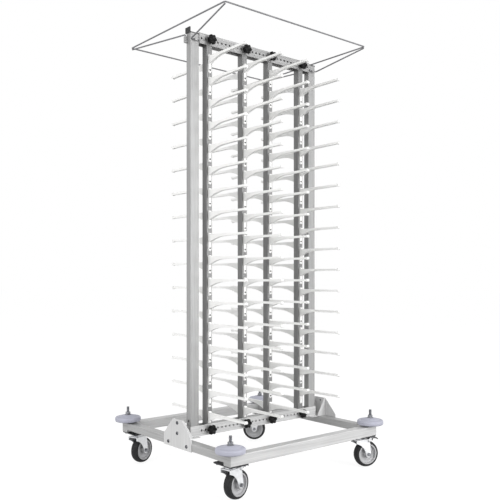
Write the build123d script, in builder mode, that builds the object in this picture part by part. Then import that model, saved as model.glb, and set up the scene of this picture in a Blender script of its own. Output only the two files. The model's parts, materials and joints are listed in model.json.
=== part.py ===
from build123d import *
import os
from math import asin, cos, radians, sin, sqrt

# Mobile plate rack: a tube base on four swivel casters, two uprights, two drilled
# channel rails and four posts that carry moulded arms to the front and to the rear.
# Millimetres. The origin is on the floor under the middle of the base, +X runs along
# the rails, +Y points to the rear and +Z up.

# ---- base frame
BASE_LENGTH = 780.0
BASE_WIDTH = 764.0
TUBE_WIDTH = 40.0
LONG_TUBE_HEIGHT = 40.0
SIDE_TUBE_HEIGHT = 30.0
TUBE_WALL = 2.0
TUBE_CORNER = 3.0
END_CAP_THICKNESS = 2.0
BASE_UNDERSIDE = 137.0

# ---- rack: rails, uprights and posts
RACK_Y = -50.0
RAIL_LENGTH = 686.0
RAIL_HEIGHT = 42.0
RAIL_WALL = 2.5
RAIL_TOP_LEVEL = 1769.0
RAIL_END_PLATE = 2.5
HOLE_PITCH = 20.0
HOLE_COUNT = 30
HOLE_DIAMETER = 8.6
UPRIGHT_WIDTH = 40.0
UPRIGHT_DEPTH = 30.0
UPRIGHT_WALL = 2.0
UPRIGHT_DROP = 8.0
POST_WIDTH = 25.0
POST_DEPTH = 30.0
POST_WALL = 1.5
POST_STEPS = (-12.5, -3.5, 3.5, 12.5)
SEAT_GAP = 0.3

# ---- moulded arms
ARM_WIDTH = 12.0
ARM_REACH = 235.0
ARM_HEIGHT = 10.0
ARM_TIP_HEIGHT = 8.0
ARM_NUB_RADIUS = 6.0
ARM_HUB_RISE = 6.0
ARM_STRIP = 4.5
WEB_LENGTH = 106.0
WEB_DEPTH = 22.0
STEM_LENGTH = 34.0
STEM_CHAMFER = 3.0
STEM_RAIL_GAP = 2.0
FRONT_TOP_DROP = 89.0
FRONT_FOOT_RISE = 80.8
FRONT_LEVELS = 17
REAR_TOP_DROP = 112.0
REAR_FOOT_RISE = 84.0
REAR_LEVELS = 15

# ---- clamp knobs
KNOB_RADIUS = 20.0
KNOB_LOBES = 6
KNOB_LOBE_RADIUS = 6.5
KNOB_CORE_RADIUS = 15.5
KNOB_THICKNESS = 15.0
KNOB_NECK_RADIUS = 11.0
KNOB_NECK_LENGTH = 9.0
KNOB_EDGE = 2.0
STUD_DIAMETER = 8.0
STUD_REACH = 18.0
STUD_FIT = 0.05

# ---- foot brackets
BRACKET_SHEET = 3.0
BRACKET_WIDTH = 190.0
BRACKET_TOP_WIDTH = 64.0
BRACKET_SHOULDER_RISE = 12.0
BRACKET_TOP_RISE = 78.0
BRACKET_SKIRT = 32.0
SHELF_OVERLAP = 38.0
WEB_TOE = 6.0
SCREW_DIAMETER = 8.0
SCREW_HEAD_DIAMETER = 14.0
SCREW_HEAD_HEIGHT = 5.0
SCREW_LOW_SPREAD = 125.0
SCREW_LOW_DROP = 16.0
SCREW_HIGH_RISE = 65.0
SCREW_MIDDLE_RISE = 25.0
SCREW_GRIP = 6.0
SCREW_CLEARANCE = 0.2

# ---- bumpers
BUMPER_DIAMETER = 110.0
BUMPER_RIM = 20.0
BUMPER_DOME = 8.0
BUMPER_EDGE = 4.0
BUMPER_INSET_X = 15.0
BUMPER_BOSS_RADIUS = 16.0
BUMPER_STUD_DIAMETER = 12.0
BUMPER_STUD_RISE = 68.0
SPACER_HEIGHT = 5.0
SPACER_DIAMETER = 30.0
BUMPER_FIT = 0.08
NUT_FLATS = 19.0
NUT_HEIGHT = 10.0
WASHER_DIAMETER = 26.0
WASHER_HEIGHT = 2.0

# ---- casters
WHEEL_DIAMETER = 110.0
TYRE_WIDTH = 34.0
TYRE_DEPTH = 12.0
TYRE_CROWN = 5.0
HUB_WIDTH = 38.0
HUB_WEB = 10.0
HUB_BOSS_RADIUS = 14.0
HUB_RIM = 6.0
AXLE_DIAMETER = 10.0
AXLE_FIT = 0.08
AXLE_HEAD_RADIUS = 8.5
AXLE_HEAD_HEIGHT = 5.0
CASTER_TRAIL = 28.0
CASTER_PLATE_LENGTH = 85.0
CASTER_PLATE_WIDTH = 105.0
CASTER_PLATE_THICKNESS = 4.0
CASTER_PLATE_CORNER = 6.0
FORK_SHEET = 3.0
FORK_GAP = 2.5
FORK_CROWN_BACK = 30.0
FORK_CROWN_FRONT = 28.0
FORK_EYE_RADIUS = 12.0
FORK_SKIRT = 12.0
FORK_ARCH = 7.0
FORK_CROWN_CLEARANCE = 6.0
SWIVEL_RADIUS = 23.0
KING_PIN_DIAMETER = 12.0
KING_PIN_FIT = 0.08
KING_PIN_HEAD_RADIUS = 9.0
KING_PIN_HEAD_HEIGHT = 2.5
CASTER_ANGLES = {"front_left": 10.0, "front_right": -17.0, "rear_left": 18.0, "rear_right": 140.0}
PEDAL_WIDTH = 30.0
PEDAL_SHEET = 3.0
PEDAL_REACH = 81.0
PEDAL_LIP = 8.0
PEDAL_BARREL_RADIUS = 5.0
PEDAL_PIN_DIAMETER = 4.0
PEDAL_PIVOT_X = 38.0
PEDAL_PIVOT_LIFT = 10.0
PEDAL_SHOE_X = 54.0
PEDAL_SHOE_DROP = 9.0
PEDAL_FIT = 0.08

# ---- cover hoop
WIRE_DIAMETER = 6.0
HOOP_LENGTH = 750.0
HOOP_WIDTH = 660.0
HOOP_RISE = 30.0
HOOP_BEND = 8.0
SOCKET_DROP = 13.0
SOCKET_HEIGHT = 26.0
SOCKET_WIDTH = 10.0
SOCKET_DEPTH = 13.0
SOCKET_STANDOFF = 8.5
SOCKET_OFFSET = 9.0
STAY_BEND = 6.0
STAY_LANDING = 7.0
PIN_LENGTH = 20.0
PIN_FIT = 0.1
CRADLE_WIDTH = 12.0
CRADLE_WALL = 2.0
CRADLE_LIP = 3.0
CRADLE_DROP = 25.0
CAP_THICKNESS = 4.0
CAP_UPSTAND = 22.0
CAP_UPSTAND_WALL = 4.8

# ---- sizes that follow from the ones above
BASE_TOP = BASE_UNDERSIDE + LONG_TUBE_HEIGHT
HALF_LENGTH = BASE_LENGTH / 2
HALF_WIDTH = BASE_WIDTH / 2
RAIL_DEPTH = POST_DEPTH + 2 * (RAIL_WALL + SEAT_GAP)
RAIL_SEAT = BASE_TOP + BRACKET_SHEET
RAIL_FRONT_Y = RACK_Y - RAIL_DEPTH / 2
POST_FRONT_Y = RACK_Y - POST_DEPTH / 2
POST_REAR_Y = RACK_Y + POST_DEPTH / 2
UPRIGHT_X = RAIL_LENGTH / 2 - RAIL_END_PLATE - UPRIGHT_WIDTH / 2
RAIL_REAR_Y = RACK_Y + RAIL_DEPTH / 2
POST_BOTTOM = RAIL_SEAT + RAIL_WALL
POST_TOP = RAIL_TOP_LEVEL - RAIL_WALL
POST_X = tuple(step * HOLE_PITCH for step in POST_STEPS)
HOLE_X = tuple((n - (HOLE_COUNT - 1) / 2) * HOLE_PITCH for n in range(HOLE_COUNT))
TOP_RAIL_LENGTH = 2 * (UPRIGHT_X - UPRIGHT_WIDTH / 2)
KNOB_LEVELS = {"top": RAIL_TOP_LEVEL - RAIL_HEIGHT / 2, "bottom": RAIL_SEAT + RAIL_HEIGHT / 2}
BUMPER_X = HALF_LENGTH - BUMPER_INSET_X
BUMPER_Y = HALF_WIDTH - TUBE_WIDTH / 2
CASTER_X = HALF_LENGTH - CASTER_PLATE_LENGTH / 2
CASTER_Y = HALF_WIDTH - CASTER_PLATE_WIDTH / 2
CROWN_LEVEL = WHEEL_DIAMETER + FORK_CROWN_CLEARANCE
PLATE_LEVEL = BASE_UNDERSIDE - CASTER_PLATE_THICKNESS
UPRIGHT_TOP = RAIL_TOP_LEVEL - UPRIGHT_DROP
UPRIGHT_FRONT_Y = RACK_Y - UPRIGHT_DEPTH / 2
FRONT_TOP_LEVEL = RAIL_TOP_LEVEL - FRONT_TOP_DROP
FRONT_PITCH = (FRONT_TOP_LEVEL - RAIL_SEAT - FRONT_FOOT_RISE) / (FRONT_LEVELS - 1)
REAR_TOP_LEVEL = RAIL_TOP_LEVEL - REAR_TOP_DROP
REAR_PITCH = (REAR_TOP_LEVEL - RAIL_SEAT - REAR_FOOT_RISE) / (REAR_LEVELS - 1)
BRACKET_TOP = BASE_TOP + BRACKET_TOP_RISE
BRACKET_SHOULDER = BASE_TOP + BRACKET_SHOULDER_RISE
BRACKET_BOTTOM = BASE_TOP - BRACKET_SKIRT
SCREW_LOW_LEVEL = BASE_TOP - SCREW_LOW_DROP
SCREW_MIDDLE_LEVEL = BASE_TOP + SCREW_MIDDLE_RISE
SCREW_HIGH_LEVEL = BASE_TOP + SCREW_HIGH_RISE
BUMPER_STUD_TOP = BASE_TOP + BUMPER_STUD_RISE
HOOP_LEVEL = UPRIGHT_TOP + HOOP_RISE
SOCKET_TOP = UPRIGHT_TOP - SOCKET_DROP
CRADLE_LEVEL = UPRIGHT_TOP - CRADLE_DROP
CRADLE_Y = UPRIGHT_FRONT_Y - CRADLE_WALL - PIN_FIT - WIRE_DIAMETER / 2
SIDES = {"left": -1, "right": 1}
CORNERS = {"front_left": (-1, -1), "front_right": (1, -1), "rear_left": (-1, 1), "rear_right": (1, 1)}

os.makedirs("parts", exist_ok=True)


def save(builder, name):
    builder.part.label = name
    export_step(builder.part, f"parts/{name}.step")


def box_between(low, high, mode=Mode.ADD):
    size = [b - a for a, b in zip(low, high)]
    middle = tuple((a + b) / 2 for a, b in zip(low, high))
    with Locations(middle):
        Box(*size, mode=mode)


# ---------------------------------------------------------------- base frame
# The long tubes run the full length at the front and rear; the lower side tubes butt
# against them, flush on top.
for place, side in (("front", -1), ("rear", 1)):
    with BuildPart() as long_tube:
        with BuildSketch(Plane.YZ.offset(-HALF_LENGTH + END_CAP_THICKNESS)) as section:
            with Locations((side * BUMPER_Y, BASE_UNDERSIDE + LONG_TUBE_HEIGHT / 2)):
                RectangleRounded(TUBE_WIDTH, LONG_TUBE_HEIGHT, TUBE_CORNER)
                Rectangle(TUBE_WIDTH - 2 * TUBE_WALL, LONG_TUBE_HEIGHT - 2 * TUBE_WALL, mode=Mode.SUBTRACT)
        extrude(amount=BASE_LENGTH - 2 * END_CAP_THICKNESS)
        with Locations(*[(end * BUMPER_X, side * BUMPER_Y, BASE_TOP) for end in (-1, 1)]):
            Hole(BUMPER_STUD_DIAMETER / 2, depth=LONG_TUBE_HEIGHT / 2)
    save(long_tube, f"{place}_base_tube")

for place, side in SIDES.items():
    with BuildPart() as side_tube:
        with BuildSketch(Plane.XZ.offset(-HALF_WIDTH + TUBE_WIDTH)) as section:
            with Locations((side * (HALF_LENGTH - TUBE_WIDTH / 2), BASE_TOP - SIDE_TUBE_HEIGHT / 2)):
                RectangleRounded(TUBE_WIDTH, SIDE_TUBE_HEIGHT, TUBE_CORNER)
                Rectangle(TUBE_WIDTH - 2 * TUBE_WALL, SIDE_TUBE_HEIGHT - 2 * TUBE_WALL, mode=Mode.SUBTRACT)
        extrude(amount=BASE_WIDTH - 2 * TUBE_WIDTH)
        for spread in (-1, 1):
            spot = (side * HALF_LENGTH, RACK_Y + spread * SCREW_LOW_SPREAD / 2, SCREW_LOW_LEVEL)
            with Locations(Plane(spot, z_dir=(side, 0, 0))):
                Hole(SCREW_DIAMETER / 2 + SCREW_CLEARANCE, depth=TUBE_WIDTH / 2)
    save(side_tube, f"{place}_base_tube")

with BuildPart() as end_caps:
    for start in (-HALF_LENGTH, HALF_LENGTH - END_CAP_THICKNESS):
        with BuildSketch(Plane.YZ.offset(start)) as caps:
            with Locations(*[(side * BUMPER_Y, BASE_UNDERSIDE + LONG_TUBE_HEIGHT / 2) for side in (-1, 1)]):
                RectangleRounded(TUBE_WIDTH, LONG_TUBE_HEIGHT, TUBE_CORNER)
        extrude(amount=END_CAP_THICKNESS)
save(end_caps, "base_end_caps")

# ---------------------------------------------------------------- foot brackets
# A trapezium plate on the side tube's outer face, a shelf over the tube that the rail
# end sits on, and two gusset webs between them.
for place, side in SIDES.items():
    outer_face = side * (HALF_LENGTH + BRACKET_SHEET)
    half_top = BRACKET_TOP_WIDTH / 2
    with BuildPart() as bracket:
        with BuildSketch(Plane.YZ.offset(min(outer_face, side * HALF_LENGTH))) as plate:
            with BuildLine() as outline:
                Polyline(
                    (RACK_Y - BRACKET_WIDTH / 2, BRACKET_BOTTOM),
                    (RACK_Y + BRACKET_WIDTH / 2, BRACKET_BOTTOM),
                    (RACK_Y + BRACKET_WIDTH / 2, BRACKET_SHOULDER),
                    (RACK_Y + half_top, BRACKET_TOP),
                    (RACK_Y - half_top, BRACKET_TOP),
                    (RACK_Y - BRACKET_WIDTH / 2, BRACKET_SHOULDER),
                    close=True,
                )
            make_face()
        extrude(amount=BRACKET_SHEET)
        low_x, high_x = sorted((side * HALF_LENGTH, side * (RAIL_LENGTH / 2 - SHELF_OVERLAP)))
        box_between((low_x, RACK_Y - half_top, BASE_TOP), (high_x, RACK_Y + half_top, RAIL_SEAT))
        toe_x = side * (RAIL_LENGTH / 2 + SEAT_GAP)
        for web_y in (RACK_Y - half_top, RACK_Y + half_top - BRACKET_SHEET):
            with BuildSketch(Plane.XZ.offset(-web_y)) as web:
                with BuildLine() as outline:
                    Polyline(
                        (side * HALF_LENGTH, RAIL_SEAT),
                        (toe_x, RAIL_SEAT),
                        (toe_x, RAIL_SEAT + WEB_TOE),
                        (side * (HALF_LENGTH - WEB_TOE), BRACKET_TOP),
                        (side * HALF_LENGTH, BRACKET_TOP),
                        close=True,
                    )
                make_face()
            extrude(amount=-BRACKET_SHEET)
        spots = [(0, SCREW_HIGH_LEVEL), (0, SCREW_MIDDLE_LEVEL)]
        spots += [(spread * SCREW_LOW_SPREAD / 2, SCREW_LOW_LEVEL) for spread in (-1, 1)]
        for along, level in spots:
            with Locations(Plane((outer_face, RACK_Y + along, level), z_dir=(side, 0, 0))):
                Hole(SCREW_DIAMETER / 2 + SCREW_CLEARANCE, depth=BRACKET_SHEET)
    save(bracket, f"{place}_foot_bracket")

# The two middle screws reach across to the upright, the lower pair hold the side tube.
with BuildPart() as screws:
    upright_outer = RAIL_LENGTH / 2 - RAIL_END_PLATE
    for side in SIDES.values():
        far = upright_outer - UPRIGHT_WALL - SCREW_GRIP
        near = HALF_LENGTH - TUBE_WALL - SCREW_GRIP
        for along, level, tip_x in (
            (0, SCREW_HIGH_LEVEL, far),
            (0, SCREW_MIDDLE_LEVEL, far),
            (-SCREW_LOW_SPREAD / 2, SCREW_LOW_LEVEL, near),
            (SCREW_LOW_SPREAD / 2, SCREW_LOW_LEVEL, near),
        ):
            seat = side * (HALF_LENGTH + BRACKET_SHEET)
            with BuildSketch(Plane((seat, RACK_Y + along, level), z_dir=(side, 0, 0))) as head_ring:
                RegularPolygon(SCREW_HEAD_DIAMETER / 2, 6)
            extrude(amount=SCREW_HEAD_HEIGHT)
            with BuildSketch(Plane((seat, RACK_Y + along, level), z_dir=(-side, 0, 0))) as shank_ring:
                Circle(SCREW_DIAMETER / 2)
            extrude(amount=HALF_LENGTH + BRACKET_SHEET - tip_x)
save(screws, "bracket_screws")

# ---------------------------------------------------------------- uprights and caps
for place, side in SIDES.items():
    outer_x = side * (UPRIGHT_X + UPRIGHT_WIDTH / 2)
    with BuildPart() as upright:
        with BuildSketch(Plane.XY.offset(POST_BOTTOM)) as section:
            with Locations((side * UPRIGHT_X, RACK_Y)):
                RectangleRounded(UPRIGHT_WIDTH, UPRIGHT_DEPTH, TUBE_CORNER)
                inner_width = UPRIGHT_WIDTH - 2 * UPRIGHT_WALL
                Rectangle(inner_width, UPRIGHT_DEPTH - 2 * UPRIGHT_WALL, mode=Mode.SUBTRACT)
        extrude(amount=UPRIGHT_TOP - POST_BOTTOM)
        for level in (SCREW_HIGH_LEVEL, SCREW_MIDDLE_LEVEL):
            with Locations(Plane((outer_x, RACK_Y, level), z_dir=(side, 0, 0))):
                Hole(SCREW_DIAMETER / 2 + SCREW_CLEARANCE, depth=UPRIGHT_WIDTH / 2)
        # a round-bottomed tab on the outer face takes the pin of the hoop's rear stay
        tab_y = RACK_Y + SOCKET_OFFSET
        tab_middle = SOCKET_TOP - SOCKET_HEIGHT + SOCKET_WIDTH / 2
        with BuildSketch(Plane((outer_x, tab_y, 0), x_dir=(0, 1, 0), z_dir=(1, 0, 0))) as tab:
            with Locations((0, (SOCKET_TOP + tab_middle) / 2)):
                Rectangle(SOCKET_WIDTH, SOCKET_TOP - tab_middle)
            with Locations((0, tab_middle)):
                Circle(SOCKET_WIDTH / 2)
        extrude(amount=side * SOCKET_DEPTH)
        with BuildSketch(Plane.XY.offset(SOCKET_TOP)) as socket_bore:
            with Locations((outer_x + side * SOCKET_STANDOFF, tab_y)):
                Circle(WIRE_DIAMETER / 2 + PIN_FIT)
        extrude(amount=-PIN_LENGTH - SEAT_GAP, mode=Mode.SUBTRACT)
        # an open cradle on the front face carries the foot of the front stay
        slot = WIRE_DIAMETER + 2 * PIN_FIT
        cradle_start = (side * UPRIGHT_X - CRADLE_WIDTH / 2, CRADLE_Y, CRADLE_LEVEL)
        with BuildSketch(Plane(cradle_start, x_dir=(0, 1, 0), z_dir=(1, 0, 0))) as cradle:
            with Locations((0, -CRADLE_WALL / 2)):
                Rectangle(slot + 2 * CRADLE_WALL, slot + CRADLE_WALL)
            with Locations((0, CRADLE_LIP)):
                Rectangle(slot, slot + CRADLE_LIP, mode=Mode.SUBTRACT)
            Circle(slot / 2, mode=Mode.SUBTRACT)
        extrude(amount=CRADLE_WIDTH)
    save(upright, f"{place}_upright")

with BuildPart() as upright_caps:
    for side in SIDES.values():
        with BuildSketch(Plane.XY.offset(UPRIGHT_TOP)) as cap_plate:
            with Locations((side * UPRIGHT_X, RACK_Y)):
                Rectangle(UPRIGHT_WIDTH, UPRIGHT_DEPTH)
        extrude(amount=CAP_THICKNESS)
    # the left cap also stands up as a stop on its outer side
    stop_x = -UPRIGHT_X - UPRIGHT_WIDTH / 2
    low = (stop_x - CAP_UPSTAND_WALL, UPRIGHT_FRONT_Y, UPRIGHT_TOP)
    box_between(low, (stop_x, UPRIGHT_FRONT_Y + UPRIGHT_DEPTH, UPRIGHT_TOP + CAP_UPSTAND))
save(upright_caps, "upright_caps")

# ---------------------------------------------------------------- drilled rails
# The bottom rail opens upwards and holds the feet of the uprights and posts; the top
# rail opens downwards between the uprights.
for place, length, floor_level, lips in (
    ("bottom", RAIL_LENGTH, RAIL_SEAT, 1),
    ("top", TOP_RAIL_LENGTH, RAIL_TOP_LEVEL, -1),
):
    with BuildPart() as rail:
        low_z, high_z = sorted((floor_level, floor_level + lips * RAIL_HEIGHT))
        box_between((-length / 2, RAIL_FRONT_Y, low_z), (length / 2, RAIL_REAR_Y, high_z))
        inner_low, inner_high = sorted((floor_level + lips * RAIL_WALL, floor_level + lips * RAIL_HEIGHT))
        box_between(
            (-length / 2 + RAIL_END_PLATE, RAIL_FRONT_Y + RAIL_WALL, inner_low),
            (length / 2 - RAIL_END_PLATE, RAIL_REAR_Y - RAIL_WALL, inner_high),
            mode=Mode.SUBTRACT,
        )
        row = [(x, KNOB_LEVELS[place]) for x in HOLE_X]
        with BuildSketch(Plane.XZ.offset(-RAIL_FRONT_Y)) as hole_row:
            with Locations(*row):
                Circle(HOLE_DIAMETER / 2)
        extrude(amount=-RAIL_WALL, mode=Mode.SUBTRACT)
        if place == "bottom":
            for side in SIDES.values():
                with Locations(Plane((side * length / 2, RACK_Y, SCREW_MIDDLE_LEVEL), z_dir=(side, 0, 0))):
                    Hole(SCREW_DIAMETER / 2 + SCREW_CLEARANCE, depth=RAIL_END_PLATE)
    save(rail, f"{place}_rail")

# ---------------------------------------------------------------- posts
for number, post_x in enumerate(POST_X, start=1):
    with BuildPart() as post:
        with BuildSketch(Plane.XY.offset(POST_BOTTOM)) as section:
            with Locations((post_x, RACK_Y)):
                Rectangle(POST_WIDTH, POST_DEPTH)
                Rectangle(POST_WIDTH - 2 * POST_WALL, POST_DEPTH - 2 * POST_WALL, mode=Mode.SUBTRACT)
        extrude(amount=POST_TOP - POST_BOTTOM)
        for level in KNOB_LEVELS.values():
            with Locations(Plane((post_x, POST_FRONT_Y, level), z_dir=(0, -1, 0))):
                Hole(STUD_DIAMETER / 2 + STUD_FIT, depth=POST_DEPTH / 2)
    save(post, f"post_{number}")

# ---------------------------------------------------------------- moulded arms
# Each arm is one moulding: a strip on the post's face, a straight finger with a round
# nub, a concave web under its root and a short stem below the web.
LOWEST_STEM = RAIL_SEAT + RAIL_HEIGHT + STEM_RAIL_GAP


def arm_outline(side, root_y, level):
    def at(out, height):
        return (root_y + side * out, level + height)

    half = ARM_HEIGHT / 2
    half_tip = ARM_TIP_HEIGHT / 2
    nub_start = ARM_REACH - ARM_NUB_RADIUS - sqrt(ARM_NUB_RADIUS**2 - half_tip**2)
    run = WEB_LENGTH - ARM_STRIP
    web_radius = (run**2 + WEB_DEPTH**2) / (2 * WEB_DEPTH)
    turn = asin(run / web_radius) / 2
    web_middle = at(WEB_LENGTH - web_radius * sin(turn), -half - web_radius * (1 - cos(turn)))
    stem_end = max(-half - WEB_DEPTH - STEM_LENGTH, LOWEST_STEM - level)
    with BuildLine() as outline:
        Polyline(
            at(0, stem_end),
            at(0, half + ARM_HUB_RISE),
            at(ARM_STRIP, half + ARM_HUB_RISE),
            at(ARM_STRIP + ARM_HUB_RISE, half),
            at(nub_start, half_tip),
        )
        ThreePointArc(at(nub_start, half_tip), at(ARM_REACH, 0), at(nub_start, -half_tip))
        Line(at(nub_start, -half_tip), at(WEB_LENGTH, -half))
        ThreePointArc(at(WEB_LENGTH, -half), web_middle, at(ARM_STRIP, -half - WEB_DEPTH))
        Polyline(
            at(ARM_STRIP, -half - WEB_DEPTH),
            at(ARM_STRIP, stem_end + STEM_CHAMFER),
            at(ARM_STRIP - STEM_CHAMFER, stem_end),
            at(0, stem_end),
        )
    make_face(outline.edges())


def arm_levels(post_number, facing):
    if facing == "rear":
        return [REAR_TOP_LEVEL - n * REAR_PITCH for n in range(REAR_LEVELS)]
    if post_number == len(POST_X):
        # the last post's front arms stand half a pitch lower than its neighbours'
        return [FRONT_TOP_LEVEL - (n + 0.5) * FRONT_PITCH for n in range(FRONT_LEVELS - 1)]
    return [FRONT_TOP_LEVEL - n * FRONT_PITCH for n in range(FRONT_LEVELS)]


for facing, side, root_y in (("front", -1, POST_FRONT_Y), ("rear", 1, POST_REAR_Y)):
    for number, post_x in enumerate(POST_X, start=1):
        with BuildPart() as arms:
            with BuildSketch(Plane.YZ.offset(post_x - ARM_WIDTH / 2)) as profiles:
                for level in arm_levels(number, facing):
                    arm_outline(side, root_y, level)
            extrude(amount=ARM_WIDTH)
        save(arms, f"{facing}_arms_{number}")

# ---------------------------------------------------------------- clamp knobs
# A lobed head on a round neck, with a stud through the rail wall into the post.
for place, level in KNOB_LEVELS.items():
    for number, post_x in enumerate(POST_X, start=1):
        seat = (post_x, RAIL_FRONT_Y - SEAT_GAP, level)
        with BuildPart() as knob:
            with BuildSketch(Plane(seat, x_dir=(1, 0, 0), z_dir=(0, -1, 0))) as neck:
                Circle(KNOB_NECK_RADIUS)
            extrude(amount=KNOB_NECK_LENGTH)
            front = (post_x, RAIL_FRONT_Y - SEAT_GAP - KNOB_NECK_LENGTH, level)
            with BuildSketch(Plane(front, x_dir=(1, 0, 0), z_dir=(0, -1, 0))) as head:
                Circle(KNOB_CORE_RADIUS)
                with PolarLocations(KNOB_RADIUS - KNOB_LOBE_RADIUS, KNOB_LOBES):
                    Circle(KNOB_LOBE_RADIUS)
            extrude(amount=KNOB_THICKNESS)
            chamfer(knob.edges().group_by(Axis.Y)[0], length=KNOB_EDGE)
            with BuildSketch(Plane(seat, x_dir=(1, 0, 0), z_dir=(0, 1, 0))) as stud:
                Circle(STUD_DIAMETER / 2)
            extrude(amount=STUD_REACH)
        save(knob, f"{place}_knob_{number}")

# ---------------------------------------------------------------- corner bumpers
DISC_BOTTOM = BASE_TOP + SPACER_HEIGHT + SEAT_GAP
DISC_TOP = DISC_BOTTOM + BUMPER_RIM + BUMPER_DOME
for place, (side_x, side_y) in CORNERS.items():
    centre = (side_x * BUMPER_X, side_y * BUMPER_Y, DISC_BOTTOM)
    with BuildPart() as bumper:
        with BuildSketch(Plane(centre, x_dir=(1, 0, 0), z_dir=(0, -1, 0))) as section:
            with BuildLine() as outline:
                bore = BUMPER_STUD_DIAMETER / 2 + BUMPER_FIT
                rim = BUMPER_DIAMETER / 2
                Polyline(
                    (bore, 0),
                    (rim - BUMPER_EDGE, 0),
                    (rim, BUMPER_EDGE),
                    (rim, BUMPER_RIM - BUMPER_EDGE),
                    (rim - BUMPER_EDGE, BUMPER_RIM),
                    (BUMPER_BOSS_RADIUS, BUMPER_RIM + BUMPER_DOME),
                    (bore, BUMPER_RIM + BUMPER_DOME),
                    close=True,
                )
            make_face()
        revolve(axis=Axis(centre, (0, 0, 1)))
    save(bumper, f"{place}_bumper")

with BuildPart() as studs:
    for side_x, side_y in CORNERS.values():
        with BuildSketch(Plane.XY.offset(BASE_TOP - LONG_TUBE_HEIGHT / 2)) as stud_ring:
            with Locations((side_x * BUMPER_X, side_y * BUMPER_Y)):
                Circle(BUMPER_STUD_DIAMETER / 2)
        extrude(amount=BUMPER_STUD_TOP - BASE_TOP + LONG_TUBE_HEIGHT / 2)
        with BuildSketch(Plane.XY.offset(BASE_TOP)) as collar:
            with Locations((side_x * BUMPER_X, side_y * BUMPER_Y)):
                Circle(SPACER_DIAMETER / 2)
        extrude(amount=SPACER_HEIGHT)
save(studs, "bumper_studs")

with BuildPart() as nuts:
    for side_x, side_y in CORNERS.values():
        with BuildSketch(Plane.XY.offset(DISC_TOP + SEAT_GAP)) as washer_ring:
            with Locations((side_x * BUMPER_X, side_y * BUMPER_Y)):
                Circle(WASHER_DIAMETER / 2)
                Circle(BUMPER_STUD_DIAMETER / 2, mode=Mode.SUBTRACT)
        extrude(amount=WASHER_HEIGHT)
        with BuildSketch(Plane.XY.offset(DISC_TOP + SEAT_GAP + WASHER_HEIGHT)) as nut_ring:
            with Locations((side_x * BUMPER_X, side_y * BUMPER_Y)):
                RegularPolygon(NUT_FLATS / 2, 6, major_radius=False)
                Circle(BUMPER_STUD_DIAMETER / 2, mode=Mode.SUBTRACT)
        extrude(amount=NUT_HEIGHT)
save(nuts, "bumper_nuts")

# ---------------------------------------------------------------- casters
with BuildPart() as caster_plates:
    for side_x, side_y in CORNERS.values():
        spot = (side_x * CASTER_X, side_y * CASTER_Y)
        with BuildSketch(Plane.XY.offset(PLATE_LEVEL)) as plate:
            with Locations(spot):
                RectangleRounded(CASTER_PLATE_LENGTH, CASTER_PLATE_WIDTH, CASTER_PLATE_CORNER)
        extrude(amount=CASTER_PLATE_THICKNESS)
        with BuildSketch(Plane.XY.offset(PLATE_LEVEL)) as pin:
            with Locations(spot):
                Circle(KING_PIN_DIAMETER / 2)
        extrude(amount=CROWN_LEVEL - SEAT_GAP - PLATE_LEVEL)
        with BuildSketch(Plane.XY.offset(CROWN_LEVEL - SEAT_GAP)) as pin_head:
            with Locations(spot):
                Circle(KING_PIN_HEAD_RADIUS)
        extrude(amount=-KING_PIN_HEAD_HEIGHT)
save(caster_plates, "caster_plates")

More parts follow.
